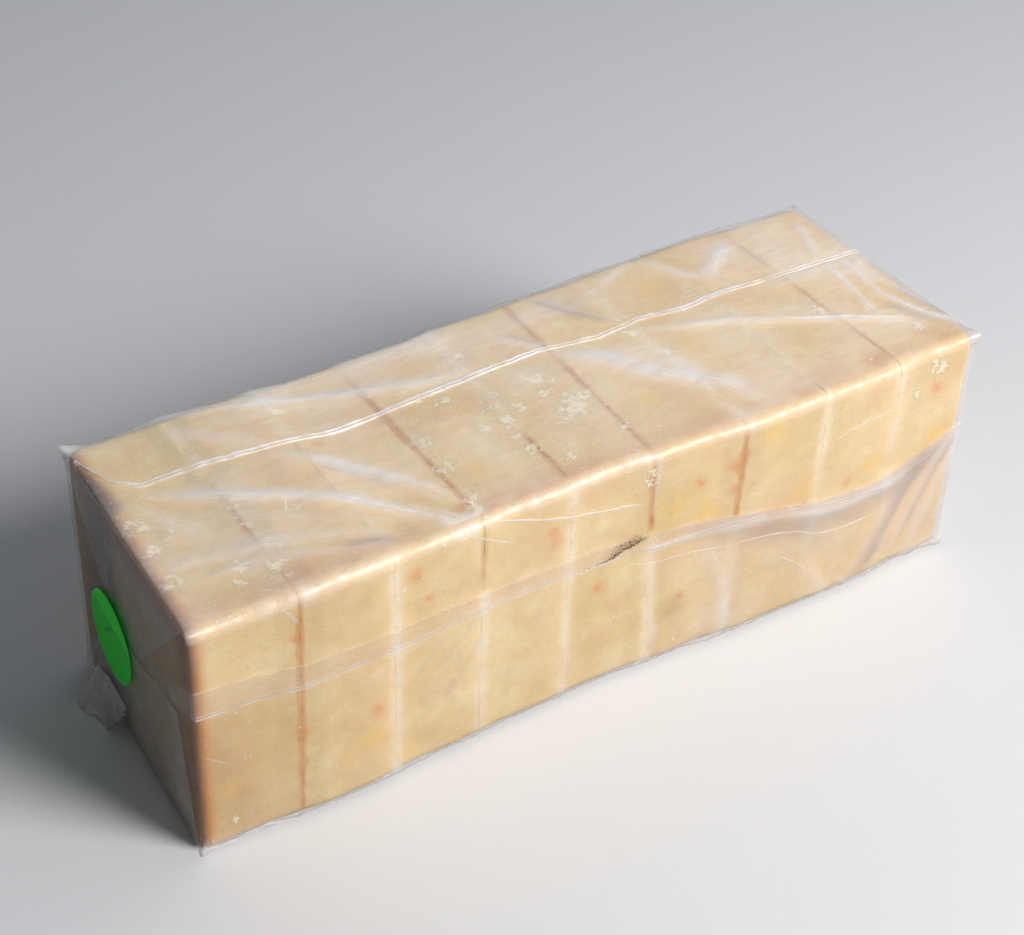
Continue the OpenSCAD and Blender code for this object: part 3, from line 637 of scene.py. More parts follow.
def soap_cake(cake):
    """One cake: the mould's rounded section between two wire cuts, with worn rims and an uneven skin."""
    front, back, top = (LEVELS[k][cake] for k in ("front", "back", "top"))
    left, right = CAKE_FACES[cake]
    at_end = [cake == 0, cake == CAKE_COUNT - 1]
    left_spread, right_spread = (0.0 if end else SEAM_SPREAD for end in at_end)
    left_bevel, right_bevel = (END_BEVEL if end else RIM_BEVEL for end in at_end)
    whole = rounded_section(front, back, FOOT_Z, top, EDGE_R, SECTION_POINTS)
    rims = [worn_rim(cake, side, whole) for side in (0, 1)]

    def blended(along):
        """Front, back and top at a distance from the left cut: near a cut they turn to the neighbour's."""
        side = -1 if along < CAKE_T / 2 else 1
        mate = min(max(cake + side, 0), CAKE_COUNT - 1)
        near = min(along, CAKE_T - along)
        share = 0.5 * (1 - float(ease((near + 0.2) / SEAM_BLEND)))
        return [mix(LEVELS[k][cake], LEVELS[k][mate], share) for k in ("front", "back", "top")]

    def ring(inset, along):
        """The section at a distance from the left cut, drawn in by an inset where the rim is worn."""
        near_front, near_back, near_top = blended(along)
        full = rounded_section(near_front, near_back, FOOT_Z, near_top, EDGE_R, SECTION_POINTS)
        worn = rounded_section(near_front + inset, near_back - inset, FOOT_Z + inset, near_top - inset,
                               EDGE_R - inset * 0.8, SECTION_POINTS)
        section = mix(full, worn, rims[int(along > CAKE_T / 2)][:, None])
        y, z = section.T
        a, b = place_on(left, y, z) - left_spread, place_on(right, y, z) + right_spread
        return np.c_[mix(a, b, along / CAKE_T), y, z]

    def cut_face(rim, plane, spread):
        """Rings from a rim to the middle of its cut face."""
        drawn = []
        for share in CUT_SHARES:
            flat = mix(rim, np.array([0, (front + back) / 2, (FOOT_Z + top) / 2]), share)
            flat[:, 0] = place_on(plane, flat[:, 1], flat[:, 2]) + spread
            drawn.append(flat)
        return drawn

    turn = np.linspace(0, 1, 7)[:-1] * math.pi / 2
    bevel = [(1 - math.sin(g), 1 - math.cos(g)) for g in turn]
    inner = np.linspace(INNER_FROM, CAKE_T - INNER_FROM, INNER_ROWS)
    inner = np.r_[left_bevel + RIM_STEPS, inner, CAKE_T - right_bevel - RIM_STEPS[::-1]]
    rows = [ring(left_bevel * inset, left_bevel * along) for inset, along in bevel]
    rows += [ring(0.0, along) for along in inner]
    rows += [ring(right_bevel * inset, CAKE_T - right_bevel * along) for inset, along in bevel[::-1]]
    rows = cut_face(rows[0], left, -left_spread)[::-1] + rows + cut_face(rows[-1], right, right_spread)
    skin = uneven_skin(np.array(rows), cake)
    work = Patchwork()
    work.grid(skin, wrap=True, **soap_marks(skin, cake))
    return work.build(f"soap_{cake + 1}")


# Film

# The film's faces: LAP is the upper layer of the front, and ROUND a rounded edge
ROUND, LAP, TOP, RIDGE, BACK, FOOT, FRONT = range(7)
# Points of a ring on the lap, on a rounded edge, on the top ahead of the pleat and behind it, on the back, on
# the foot and on the front
COLUMNS = {"lap": 44, "edge": 7, "ahead": 46, "behind": 26, "back": 44, "foot": 22, "front": 46}
# Share of its full depth that the folds' relief keeps on the borders of a face
BORDER_RELIEF = 0.25
# Height of the crinkles on the top and the back, and on the other faces
WIDE_CRINKLE = 0.16
SLIGHT_CRINKLE = 0.09
# Height of the film that is bunched on the front's rounded edges and on the back's
FRONT_BUNCH = 0.4
BACK_BUNCH = 0.15
# Haze of the thin veil over the top with its pleat, which is partly a painted reflection of bright
# surroundings, over the back and over the other faces
TOP_VEIL_AND_REFLECTION = 0.24
BACK_VEIL = 0.14
SIDE_VEIL = 0.07
# Haze of the front's edge at the right end, and the haze and the painted shade of the loose film low on the
# front and of the lap's two layers, whose painted shade grows along the loaf
RIGHT_EDGE_HAZE = 0.4
LOOSE_HAZE = 0.12
LOOSE_PAINTED_SHADE = 0.17
LAP_HAZE = 0.16
LAP_PAINTED_SHADE = [0.17, 0.2]
# How the film bulges over an end, as [share of the way from its edges to its middle, share of the bulge]
BULGE_SHAPE = [(0, 0), (0.13, 0.5), (0.28, 1.0)]
# Rows of points of a folded-in end, and rows and columns of points of a flap and of the tab
CAP_ROWS = 33
FLAP_ROWS = 40
FLAP_COLUMNS = 60
TAB_ROWS = 22
TAB_COLUMNS = 46
# Haze of a flap's free edge and of its two sides
FLAP_EDGE_HAZE = 0.15
FLAP_SIDE_HAZE = 0.125
# Section of a tight pleat, as [share across, share of its height, share of its haze]
PLEAT_SHAPE = [(-0.6, 0.0, 0.25), (-0.32, 0.35, 0.6), (-0.1, 0.8, 1.0), (0.12, 1.0, 1.1), (0.4, 0.75, 1.0),
               (0.46, 0.2, 0.8), (0.3, 0.05, 0.4)]


def lap_low_z(u):
    return FOOT_Z + LOAF_H * lookup(u / CAKE_COUNT, LAP_LOWER)


def lap_high_z(u):
    return FOOT_Z + LOAF_H * lookup(u / CAKE_COUNT, LAP_UPPER)


def film_path(u, d):
    """Section of the film at u, d millimetres off the soap, as rows of [y, z, face]: from the edge of the
    lap's upper layer up the front, over the top with its pleat, down the back, under the foot and up the
    front again, below the lap."""
    r = EDGE_R + d
    front, back, top, foot = face_front(u, d), face_back(u, d), face_top(u, d), FOOT_Z - d
    low, high = foot + r, top - r
    lap_low, lap_high = lap_low_z(u), lap_high_z(u)
    run = []

    def corner(cy, cz, start):
        for k in range(COLUMNS["edge"]):
            g = math.radians(start - 90 * (k + 1) / (COLUMNS["edge"] + 1))
            run.append((cy + r * math.cos(g), cz + r * math.sin(g), ROUND))

    for k in range(COLUMNS["lap"]):
        z = lap_low + 0.3 * k if k < 6 else mix(lap_low + 1.8, high, (k - 6) / (COLUMNS["lap"] - 7))
        stand = LAP_STAND * (1 - float(ease((z - lap_high) / LAP_FALL)))
        run.append((front - stand, z, LAP))
    corner(front + r, high, 180)
    ridge_y = LOAF_W * (float(lookup(u / CAKE_COUNT, RIDGE_PATH)) - 0.5)
    run += [(y, top, TOP) for y in np.linspace(front + r, ridge_y - RIDGE_W / 2, COLUMNS["ahead"])]
    tilt = 0.3 * math.sin(u * 2.1) + 0.35 * noise.noise(Vector((u * 6, 0.5, 1.5)))
    lift = 0.8 + 0.5 * noise.noise(Vector((u * 5, 7.5, 2.5))) + 0.45 * noise.noise(Vector((u * 13, 3.5, 8.5)))
    rise = RIDGE_H * lift * float(lookup(u, RIDGE_FADE))
    run += [(ridge_y + RIDGE_W * across + tilt * up, top + rise * up, RIDGE) for across, up in RIDGE_SHAPE]
    run += [(y, top, TOP) for y in np.linspace(ridge_y + RIDGE_W / 2, back - r, COLUMNS["behind"])]
    corner(back - r, high, 90)
    run += [(back, z, BACK) for z in np.linspace(high, low, COLUMNS["back"])]
    corner(back - r, low, 0)
    run += [(y, foot, FOOT) for y in np.linspace(back - r, front + r, COLUMNS["foot"])]
    corner(front + r, low, 270)
    for k in range(COLUMNS["front"]):
        left = COLUMNS["front"] - 1 - k
        z = lap_high - 0.35 * left if left < 2 else mix(low, lap_high - 0.7, k / (COLUMNS["front"] - 3))
        run.append((front, z, FRONT))
    return np.array(run)


def folds_at(folds, p, q, grain):
    """Height and haze of soft folds at places on a face, and how far across and along its fold each place
    lies. Each fold fades out towards its ends."""
    height, haze, across, along = (np.zeros(p.shape) for _ in range(4))
    for number, (path, half, rise, milk) in enumerate(folds):
        away, share, run = to_path(p, q, path)
        wave = away / half * (1 + 0.3 * grain)
        taper = np.minimum(1, 4 * np.minimum(share, 1 - share) + 0.35)
        height = height + rise * taper * np.exp(-np.abs(wave) ** 1.5) * 0.8
        here = milk * taper * np.exp(-(away / half / 1.15) ** 2) * (0.95 + 0.2 * grain)
        across = np.where(here > haze, away + 7.0 * number, across)
        along = np.where(here > haze, run, along)
        haze = np.maximum(haze, here)
    return height, haze, across, along


def bunched_haze_and_highlight(x, y, z, grain):
    """Haze of the film that is bunched on the top front edge, there partly a painted highlight, and on the
    front foot.
    """
    from_front = (y + LOAF_W / 2) ** 2
    haze = np.zeros(x.shape)
    for place, reach, milk in EDGE_WHITES:
        near = np.exp(-((x - place) / reach) ** 2 - (from_front + (z - LOAF_H) ** 2) / 9.0)
        haze = haze + milk * near * (0.8 + 0.6 * grain)
    for place, reach, milk in FOOT_WHITES:
        haze = haze + milk * np.exp(-((x - place) / reach) ** 2 - (from_front + z ** 2) / 14.0)
    return haze


def cloud_haze(x, y):
    """Haze of the broad clouds in the film of the top."""
    haze = np.zeros(x.shape)
    for cx, cy, rx, ry, milk in TOP_CLOUDS:
        haze = haze + milk * np.exp(-((x - cx) / rx) ** 2 - ((y - cy) / ry) ** 2)
    return haze


def dust_haze(x, y, z, on_top, on_front, on_back, grain):
    """Haze where the film clings to the pale dust along the cuts."""
    haze = np.zeros(x.shape)
    for i in range(CAKE_COUNT - 1):
        pale = np.where(on_front, -lookup(z, FRONT_SEAMS[i]), 0)
        pale = np.where(on_top, -0.7 * lookup(y, TOP_SEAMS[i]), pale)
        pale = np.where(on_back, 0.5 + 0.3 * math.sin(2.3 * i), pale)
        away = x - place_on(CUTS[i + 1], y, z) + 0.5 * grain
        haze = haze + np.clip(pale, 0, 1) * np.exp(-(away / 1.6) ** 2)
    return SEAM_DUST * haze * np.clip(0.7 + grain, 0.2, 1.4)


def dull_folds(x, y, z, on_top, on_front):
    """Painted shade of the folds where layers of film lie over each other, with a smudge of dirt."""
    dull = np.zeros(x.shape)
    for where, path, half, strength in FOLD_SHADE_AND_DIRT:
        away, share, _ = to_path(x, y if where == "top" else z, path)
        taper = np.minimum(1, 5 * np.minimum(share, 1 - share) + 0.3)
        shade = strength * taper * np.exp(-(away / half) ** 2)
        dull = dull + np.where(on_top if where == "top" else on_front, shade, 0)
    return dull


def relief(points, face):
    """How far the film stands off its even place, its haze, which is partly painted highlight and reflection,
    the haze of its folds with the place across and along them, and the painted shade of loose film, folds and
    doubled layers, with a smudge of dirt, at points with their face numbers."""
    x, y, z = points[..., 0], points[..., 1], points[..., 2]
    grain = field(points, 6.0, 4.2)
    slow = field(points, 24.0, 9.1, 2)
    pulled = np.stack([x * 0.25 + y * 0.3, y - 0.5 * x, z - 0.25 * x], -1)
    crinkle = np.clip(1 - 3.2 * np.abs(field(pulled, 5.0, 1.7, 2)), 0, 1) ** 2
    bunched = field(points * [1, 0.3, 0.3], 4.0, 15.0)
    on_top, on_back, rounding = face == TOP, face == BACK, face == ROUND
    on_front = (face == LAP) | (face == FRONT)
    over_top = on_top | (face == RIDGE)
    in_lap = (face == LAP) & (z < lap_high_z(cakes_along(x)))
    loose = ease((x - 5) / 45) * ease((z + 6) / 14) * ((face == FRONT) | (face == FOOT))
    top_h, top_haze, top_across, top_along = folds_at(TOP_FOLDS, x, y, grain)
    front_h, front_haze, front_across, front_along = folds_at(FRONT_FOLDS, x, z, grain)

    lively = 0.5 + 0.5 * np.clip(slow + 0.3, 0, 1)
    height = np.where(on_top, top_h, 0) + np.where(on_front, front_h, 0) + 0.10 * np.clip(slow, 0, 1)
    height = height + np.where(on_top | on_back, WIDE_CRINKLE, SLIGHT_CRINKLE) * crinkle * lively
    bunch = np.where(y < 0, FRONT_BUNCH, BACK_BUNCH) * np.clip(bunched + 0.1, 0, 1)
    height = height + np.where(rounding, bunch, 0)

    # the top's thicker veil is partly a painted reflection of bright surroundings
    veil = np.where(over_top, TOP_VEIL_AND_REFLECTION, np.where(on_back, BACK_VEIL, SIDE_VEIL))
    haze = veil * np.clip(1 + 0.9 * slow, 0.2, 2) + np.where(over_top, cloud_haze(x, y), 0)
    haze = haze + np.where(rounding, 0.06 + 0.14 * np.clip(bunched, 0, 1), 0) + bunched_haze_and_highlight(x, y, z, grain)
    haze = haze + 0.06 * crinkle * np.clip(slow + 0.2, 0, 1)
    haze = haze + np.where(on_front, RIGHT_EDGE_HAZE * np.exp(-((x - LOAF_L / 2) / 1.8) ** 2), 0)
    haze = haze + dust_haze(x, y, z, on_top, on_front, on_back, grain)
    haze = haze + loose * (LOOSE_HAZE + 0.1 * slow) + np.where(in_lap, LAP_HAZE * ease((x - 15) / 20), 0)

    dull = loose * LOOSE_PAINTED_SHADE + dull_folds(x, y, z, on_top, on_front)
    dull = dull + np.where(in_lap, mix(*LAP_PAINTED_SHADE, ease((x - 10) / 25)), 0)
    return {
        "height": height,
        "haze": np.clip(haze, 0, None),
        "fold": np.where(on_top, top_haze, 0) + np.where(on_front, front_haze, 0),
        "dull": dull,
        "across": np.where(on_top, top_across, front_across),
        "along": np.where(on_top, top_along, front_along),
    }


def end_plane(side):
    """The soap's flat end on one side of the loaf."""
    return CUTS[0] if side < 0 else CUTS[-1]


def end_rim(side, d):
    """Front, back and top of the film at one end, d millimetres off the soap."""
    u = 0.0 if side < 0 else float(CAKE_COUNT)
    return float(face_front(u, d)), float(face_back(u, d)), float(face_top(u, d))


def end_share(side, y, z):
    """Share of the way from the edges of an end to its middle."""
    front, back, top = end_rim(side, 0)
    across = np.minimum((y - front) / (back - front), (back - y) / (back - front))
    up = np.minimum((z - FOOT_Z) / (top - FOOT_Z), (top - z) / (top - FOOT_Z))
    return np.clip(2 * np.minimum(across, up), 0, 1)


def end_place(side, y, z, lift=0.0):
    """Points on a folded end, which bulges over its folded layers, lifted off it by a distance."""
    stand = FILM_OFF - 0.1 + END_BULGE * lookup(end_share(side, y, z), BULGE_SHAPE)
    return np.stack([place_on(end_plane(side), y, z) + side * (stand + lift), y, z], -1)


def rim_fade(side, y, z, least):
    """Share of an end's haze that shows: the least at the edges of the end, and all of it further in."""
    return mix(least, 1.0, ease(end_share(side, y, z) / 0.24))


def end_crinkle(points, side):
    """Height of the small tension folds of an end, which run towards the label, and their sharp ridges."""
    y, z = points[..., 1], points[..., 2]
    angle, reach = np.arctan2(z - 34, y - 8), np.hypot(z - 34, y - 8)
    rays = field(np.stack([angle * 9, reach * 0.12, np.full(angle.shape, 5.0 * side)], -1), 2.3, 6.6, 2)
    lumps = field(points, 9.0, 2.9)
    sharp = np.clip(1 - 3 * np.abs(rays), 0, 1)
    return 0.05 * sharp + 0.12 * lumps, sharp * np.clip(lumps + 0.3, 0, 1)


def ear_push(points, side):
    """Pulls the film out into a small point at each corner of an end."""
    front, back, top = end_rim(side, FILM_OFF)
    corners = ((front, FOOT_Z), (front, top), (back, top), (back, FOOT_Z))
    pull = np.zeros(points.shape[:-1])
    moved = points.copy()
    for (y, z), strength in zip(corners, LEFT_EARS if side < 0 else RIGHT_EARS):
        corner = np.array([place_on(end_plane(side), y, z) + side * FILM_OFF, y, z])
        away = ((points - corner) ** 2 * [0.45, 1, 1]).sum(-1)
        near = strength * np.exp(-away / 2.7 ** 2)
        pull = np.maximum(pull, near)
        moved[..., 0] += side * EAR_REACH * near
        moved[..., 1] += math.copysign(1, y) * EAR_REACH * 0.8 * near
        moved[..., 2] += (EAR_REACH * 0.7 if z > LOAF_H / 2 else -0.2) * near
    return moved, pull


def film_grid(work, points, haze, fold=0.0, dull=0.0, across=0.0, along=0.0):
    """Adds a grid of film. Its painted shade, with the dirt smudge, is kept as a share of all that clouds it.
    """
    clouded = haze + fold + dull
    work.grid(points, haze=np.clip(haze + dull, 0, FULL_HAZE), fold=fold,
              dull=dull / np.maximum(clouded, 1e-6), across=across, along=along)


def film_rings():
    """Rings of the film along the loaf, and the face that each of their points lies on. At each end the film
    turns inward in an arc of four more rings."""
    rings, faces = [], []

    def ring(u, inset, out):
        path = film_path(u, FILM_OFF - inset)
        y, z = path[:, 0], path[:, 1]
        rings.append(np.c_[loaf_x(np.full(len(y), u), y, z) + out, y, z])
        faces.append(path[:, 2])

    turn = [math.radians(g) for g in (90, 67.5, 45, 22.5)]
    for g in turn:
        ring(0, END_TURN_R * (1 - math.cos(g)), -(FILM_OFF - END_TURN_R + END_TURN_R * math.sin(g)))
    for u in np.linspace(0, CAKE_COUNT, int(LOAF_L / RING_PITCH)):
        side = -1 if u == 0 else 1 if u == CAKE_COUNT else 0
        ring(u, 0, side * (FILM_OFF - END_TURN_R))
    for g in turn[::-1]:
        ring(CAKE_COUNT, END_TURN_R * (1 - math.cos(g)), FILM_OFF - END_TURN_R + END_TURN_R * math.sin(g))
    return np.array(rings), np.array(faces)


def outward(tube):
    """Directions away from the loaf at the points of a tube."""
    normal = np.cross(np.gradient(tube, axis=0), np.gradient(tube, axis=1))
    normal /= np.maximum(np.linalg.norm(normal, axis=-1, keepdims=True), 1e-9)
    return -normal if (normal * (tube - MIDDLE)).sum() < 0 else normal


def relief_share(sections):
    """Share of the relief that each point of a ring takes: less of it close to the borders of a face."""
    share = np.ones(len(sections))
    for kind in (LAP, TOP, BACK, FRONT):
        at = np.where(sections == kind)[0]
        for run in np.split(at, np.where(np.diff(at) > 1)[0] + 1):
            reach = min(4, len(run) // 3)
            for k in range(reach):
                close = [run[k], run[-1 - k]]
                share[close] = np.minimum(share[close], mix(BORDER_RELIEF, 1, k / reach))
    share[[0, 1, -1, -2]] = 0
    share[np.isin(sections, [RIDGE, FOOT])] = 0
    return share


def edge_haze_and_glints(tube, sections, from_end):
    """Haze of the sheet's free edges and of the pleat's ragged crest, partly painted glints and highlight,
    and of the turn at each end.
    """
    x = tube[:, 0, 0]
    along = tube[:, 0] * [1, 0, 0]
    free, crest = np.zeros(tube.shape[:2]), np.zeros(tube.shape[:2])
    for point, milk in FREE_EDGES:
        free[:, point] = milk
    free *= np.clip(0.7 + 1.2 * field(along, 6.0, 8.0), 0.15, 1.4)[:, None]
    ridge = sections == RIDGE
    columns = np.arange(tube.shape[1])[ridge] * 2.2
    uneven = field(np.stack(np.broadcast_arrays(x[:, None], columns, 0.0), -1), 4.0, 6.0)
    wander = field(along, 5.0, 3.0, 2)[:, None]
    ragged = np.clip(1 + 0.9 * wander + 1.3 * uneven, 0.1, 2.2)
    crest[:, ridge] = RIDGE_HAZE * ragged * lookup(x, RIDGE_WHITES)[:, None]
    return free + crest + 0.1 * np.exp(-(from_end / 2.2) ** 2)[:, None]


def film_cap(side, rim):
    """A folded-in end, drawn from the tube's rim to the line in the middle of the end, and its haze."""
    inward = np.linspace(0, 1, CAP_ROWS + 1)[1:]
    drawn = np.array([np.c_[rim[:, 1] * (1 - s), mix(rim[:, 2], FOOT_Z + LOAF_H / 2, s)] for s in inward])
    y, z = drawn[..., 0], drawn[..., 1]
    share = end_share(side, y, z)
    points = end_place(side, y, z)
    crinkle, sharp = end_crinkle(points, side)
    points[..., 0] += side * np.minimum(crinkle * ease(share * 6), 0.05)
    lit = END_HAZE + 0.14 * sharp * ease(share * 4) + 0.12 * np.exp(-(share / 0.02) ** 2)
    return points, lit * rim_fade(side, y, z, 0.3)


def film_tube(work):
    """The sheet round the cakes, with its lap, pleat and pulled folds, and its folded-in ends."""
    tube, face = film_rings()
    sections = face[0].astype(int)
    marks = relief(tube, face)
    rings = np.arange(len(tube))
    from_end = np.minimum(rings, rings[::-1])
    height = marks.pop("height") * relief_share(sections) * ease((from_end - 3) / 6.0)[:, None]
    tube = tube + outward(tube) * height[..., None]
    marks["haze"] = marks["haze"] + edge_haze_and_glints(tube, sections, from_end)
    left, left_haze = film_cap(-1, tube[0])
    right, right_haze = film_cap(1, tube[-1])
    tube = np.concatenate([left[::-1], tube, right])
    for name, value in marks.items():
        on = name == "haze"
        marks[name] = np.concatenate([left_haze[::-1] * on, value, right_haze * on])
    for side in (-1, 1):
        near = (tube[..., 0] * side) > LOAF_L / 2 - 12
        moved, pull = ear_push(tube, side)
        tube = np.where(near[..., None], moved, tube)
        marks["haze"] = np.where(near, marks["haze"] + 0.5 * pull, marks["haze"])
    film_grid(work, tube, **marks)


def film_flap(work, side, attached, free_edge, lift, milk):
    """A flap of a folded end, from the edge that it hangs on to its free edge."""
    across = np.linspace(0, 1, FLAP_COLUMNS)
    near, far = (np.stack([lookup(across, [(row[0], row[k]) for row in edge]) for k in (1, 2)], -1)
                 for edge in (attached, free_edge))
    down = np.r_[np.linspace(0, 1, FLAP_ROWS)[:-1], 0.994, 1.0]
    sheet = np.array([mix(near, far, t) for t in down])
    y, z = sheet[..., 0], sheet[..., 1]
    points = end_place(side, y, z, lift)
    crinkle, sharp = end_crinkle(points, side)
    points[..., 0] += side * np.minimum(crinkle, 0.06)
    edge = np.zeros(y.shape)
    edge[-2:, :] = FLAP_EDGE_HAZE
    edge[:, [0, -1]] = FLAP_SIDE_HAZE
    film_grid(work, points, (milk + 0.15 * sharp) * rim_fade(side, y, z, 0.25) + edge)


def film_pleat(work, where, path, width, rise, milk):
    """A tight pleat: a narrow strip of film, raised in its middle and folded over to one side."""
    length = np.linalg.norm(np.diff(np.array(path, float), axis=0), axis=1).sum()
    count = max(12, int(length / 0.8))
    line = smooth_path(path, count)
    way = np.gradient(line, axis=0)
    way /= np.linalg.norm(way, axis=1, keepdims=True)
    aside = np.c_[-way[:, 1], way[:, 0]]
    share = np.linspace(0, 1, count)
    taper = np.clip(8 * np.minimum(share, 1 - share), 0.1, 1)
    sway = 1 + 0.35 * np.sin(share * 31 + len(path))
    rows = []
    for across, up, _ in PLEAT_SHAPE:
        p = line + aside * (across * width * taper * sway)[:, None]
        u = cakes_along(p[:, 0])
        stand = 0.12 + rise * up * taper
        if where == "front":
            points = np.c_[p[:, 0], face_front(u, FILM_OFF), p[:, 1]]
            on_lap = LAP_STAND * (1 - ease((p[:, 1] - lap_high_z(u)) / LAP_FALL)) * (p[:, 1] > lap_low_z(u))
            points[:, 1] -= relief(points, np.full(count, LAP))["height"] + stand + on_lap
        else:
            points = np.c_[p[:, 0], p[:, 1], face_top(u, FILM_OFF)]
            points[:, 2] += relief(points, np.full(count, TOP))["height"] + stand
        rows.append(points)
    bright = np.array([haze for _, _, haze in PLEAT_SHAPE])[:, None] * milk * taper[None]
    film_grid(work, np.array(rows), bright)


def stretched(rows, count):
    """As many rows of points as asked for, evenly spaced between the given ones."""
    at = np.linspace(0, len(rows) - 1, count)
    return np.stack([np.interp(at, range(len(rows)), rows[:, k]) for k in range(3)], -1)


def film_tab(work):
    """The crumpled tab at the foot of the left end: three bent edges with facets between them."""
    wide = np.array([stretched(edge, TAB_COLUMNS) for edge in np.array(TAB_EDGES, float)])
    sheet = np.stack([stretched(wide[:, j], TAB_ROWS) for j in range(wide.shape[1])], 1)
    lumps = field(sheet, 8.0, 8.8, 2)
    creases = np.clip(1 - 4 * np.abs(field(sheet, 6.0, 3.3, 2)), 0, 1)
    sheet[..., 0] += 0.5 * lumps
    sheet[..., 2] = np.maximum(sheet[..., 2] + 0.4 * lumps, 0.12)
    film_grid(work, sheet, np.clip(0.78 + 0.4 * creases + 0.35 * lumps, 0.5, 0.95))


def build_film():
    """The whole sheet as one piece: its tube with closed ends, the flaps over them, pleats and a tab."""
    work = Patchwork()
    film_tube(work)
    for side, attached, free_edge, lift, milk in END_FLAPS:
        film_flap(work, side, attached, free_edge, lift, milk)
    for where, path, width, rise, milk in PLEATS:
        film_pleat(work, where, path, width, rise, milk)
    film_tab(work)
    return work.build("film")


def build_specks():
    """Specks of dirt in the fold of the lap: most lie in a thin line along it, and the rest loosely above."""
    shuffle = np.random.default_rng(7)
    path = smooth_path(DIRT_PATH, DIRT_STEPS)
    turn = np.arange(SPECK_CORNERS) / SPECK_CORNERS * 2 * math.pi
    work = Patchwork()
    for speck in range(DIRT_SPECKS):
        loose = speck % LOOSE_EVERY == 0
        along = shuffle.beta(6.0, 2.4) if loose else shuffle.beta(2.4, 1.5)
        away = shuffle.normal(0, 1, 2)
        away = [away[0] * 1.4, abs(away[1]) * 1.6] if loose else away * [0.6, 0.14]
        x, z = path[min(DIRT_STEPS - 1, int(along * DIRT_STEPS))] + away
        size = 0.05 + 0.24 * shuffle.random() ** (4 if loose else 2)
        uneven = 0.7 + 0.5 * shuffle.random((SPECK_CORNERS, 1))
        ring = np.c_[np.cos(turn), np.zeros(SPECK_CORNERS), np.sin(turn)] * (size * uneven)
        base = np.array([x, float(face_front(cakes_along(x), FILM_OFF)) - LAP_STAND - 0.12, z])
        rings = [base + ring, base + ring * 0.6 - [0, 0.12, 0], base + ring * 0.05 - [0, 0.16, 0]]
        work.grid(np.array(rings), wrap=True)
    return work.build("dirt_specks")


def build_label(node):
    """The paper disc, bent a little along a crease, with a short slit below the crease."""
    points = mesh_points(node)
    low, high = points.min(0), points.max(0)
    middle, r = (low + high) / 2, (high[2] - low[2]) / 2
    plane = plane_through(points[points[:, 0] < middle[0] + 10])
    share = np.linspace(0, 1, LABEL_RINGS)[:, None]
    turn = np.arange(LABEL_POINTS) / LABEL_POINTS * 2 * math.pi
    y, z = middle[1] + r * share * np.cos(turn), middle[2] + r * share * np.sin(turn)
    above_crease = z - (LABEL_CREASE_Z + 0.12 * (y - middle[1]))
    bend = 0.06 * np.clip(above_crease, 0, None) + 0.12 * np.exp(-(above_crease / 0.7) ** 2)
    away, _, _ = to_path(y, z, LABEL_SLIT)
    marks = {
        "crease": np.exp(-(above_crease / 0.5) ** 2),
        "lobe": ease((above_crease + 0.3) / 0.6),
        "rim": ease((share - 0.93) / 0.06) * np.ones(y.shape),
        "slit": np.exp(-(away / 0.35) ** 2),
    }
    bent = place_on(plane, y, z) - bend * 0.6
    outer, inner = (np.stack([bent + skin * LABEL_HALF_T, y, z], -1) for skin in (-1, 1))
    both = {name: np.concatenate([value, value[::-1]]) for name, value in marks.items()}
    work = Patchwork()
    work.grid(np.concatenate([outer, inner[::-1]]), wrap=True, **both)
    return work.build("label")


# Materials

# The soap's two ground colours, the tones of its mottle and its clouds with the share that each takes, and
# the colours of brown seams, of pale seams and of flakes
SOAP_GROUND = [(220, 187, 130), (231, 204, 152)]
SOAP_MOTTLE = 0.25, (237, 213, 164)
PINK_CLOUD = 0.45, (228, 184, 146)
CREAM_CLOUD = 0.45, (240, 224, 178)
BROWN_SEAM = (200, 142, 72)
PALE_SEAM = (244, 228, 196)
FLAKE = (248, 236, 208)
# Marks that tint the soap, in the order in which they lie over each other: mark, share and colour on a
# screen.
# Among them are painted shade low on the left of the front, on the left end's face and in the pocket at its
# back top corner, and a painted glow on the left end's edges
SOAP_TINTS = [("painted_shade_low_left", 0.55, (196, 150, 96)), ("yellow", 0.55, (238, 196, 104)),
              ("olive", 0.6, (184, 150, 84)), ("stain", 0.8, (222, 146, 80)), ("blush", 0.6, (210, 160, 116)),
              ("glow", 0.9, (208, 128, 34)), ("painted_end_shade", 0.9, (92, 36, 18)), ("corner", 0.9, (96, 56, 36))]
# The top front edge's cream is partly a painted highlight, and its darker tint partly wear and partly painted
# shade
RIM_TINTS = [("edge", 0.4, (236, 216, 180)), ("edge_wear_and_shade", 0.6, (216, 180, 128))]
LABEL_TINTS = [("lobe", 0.7, (24, 230, 50)), ("crease", 0.6, (90, 220, 110)), ("rim", 0.35, (80, 210, 110)),
               ("slit", 1.0, (12, 70, 24))]
# The film: colour where it is milky, and the colour of its painted shade on folds and doubled layers and of
# its dirt smudge, roughness where it is milky and of its gloss, its refractive index, and the share of its
# reflection that shows, with the most that does
FILM_MILK = (244, 240, 238)
FILM_SHADE_AND_DIRT = (160, 130, 108)
MILK_ROUGH = 0.4
GLOSS_ROUGH = 0.31
FILM_IOR = 1.5
GLOSS_SHARE = 0.7
FULL_GLOSS = 0.17
# The label's two greens and how much it shines, and the dirt's two browns
LABEL_GREENS = [(0, 178, 22), (2, 192, 28)]
LABEL_SHINE = 0.1
DIRT_BROWNS = [(98, 78, 46), (146, 122, 82)]


def link(tree, a, b):
    tree.links.new(a, b)


def new_material(name):
    made = bpy.data.materials.new(name)
    made.use_nodes = True
    tree = made.node_tree
    tree.nodes.clear()
    out = tree.nodes.new("ShaderNodeOutputMaterial")
    return made, tree, out


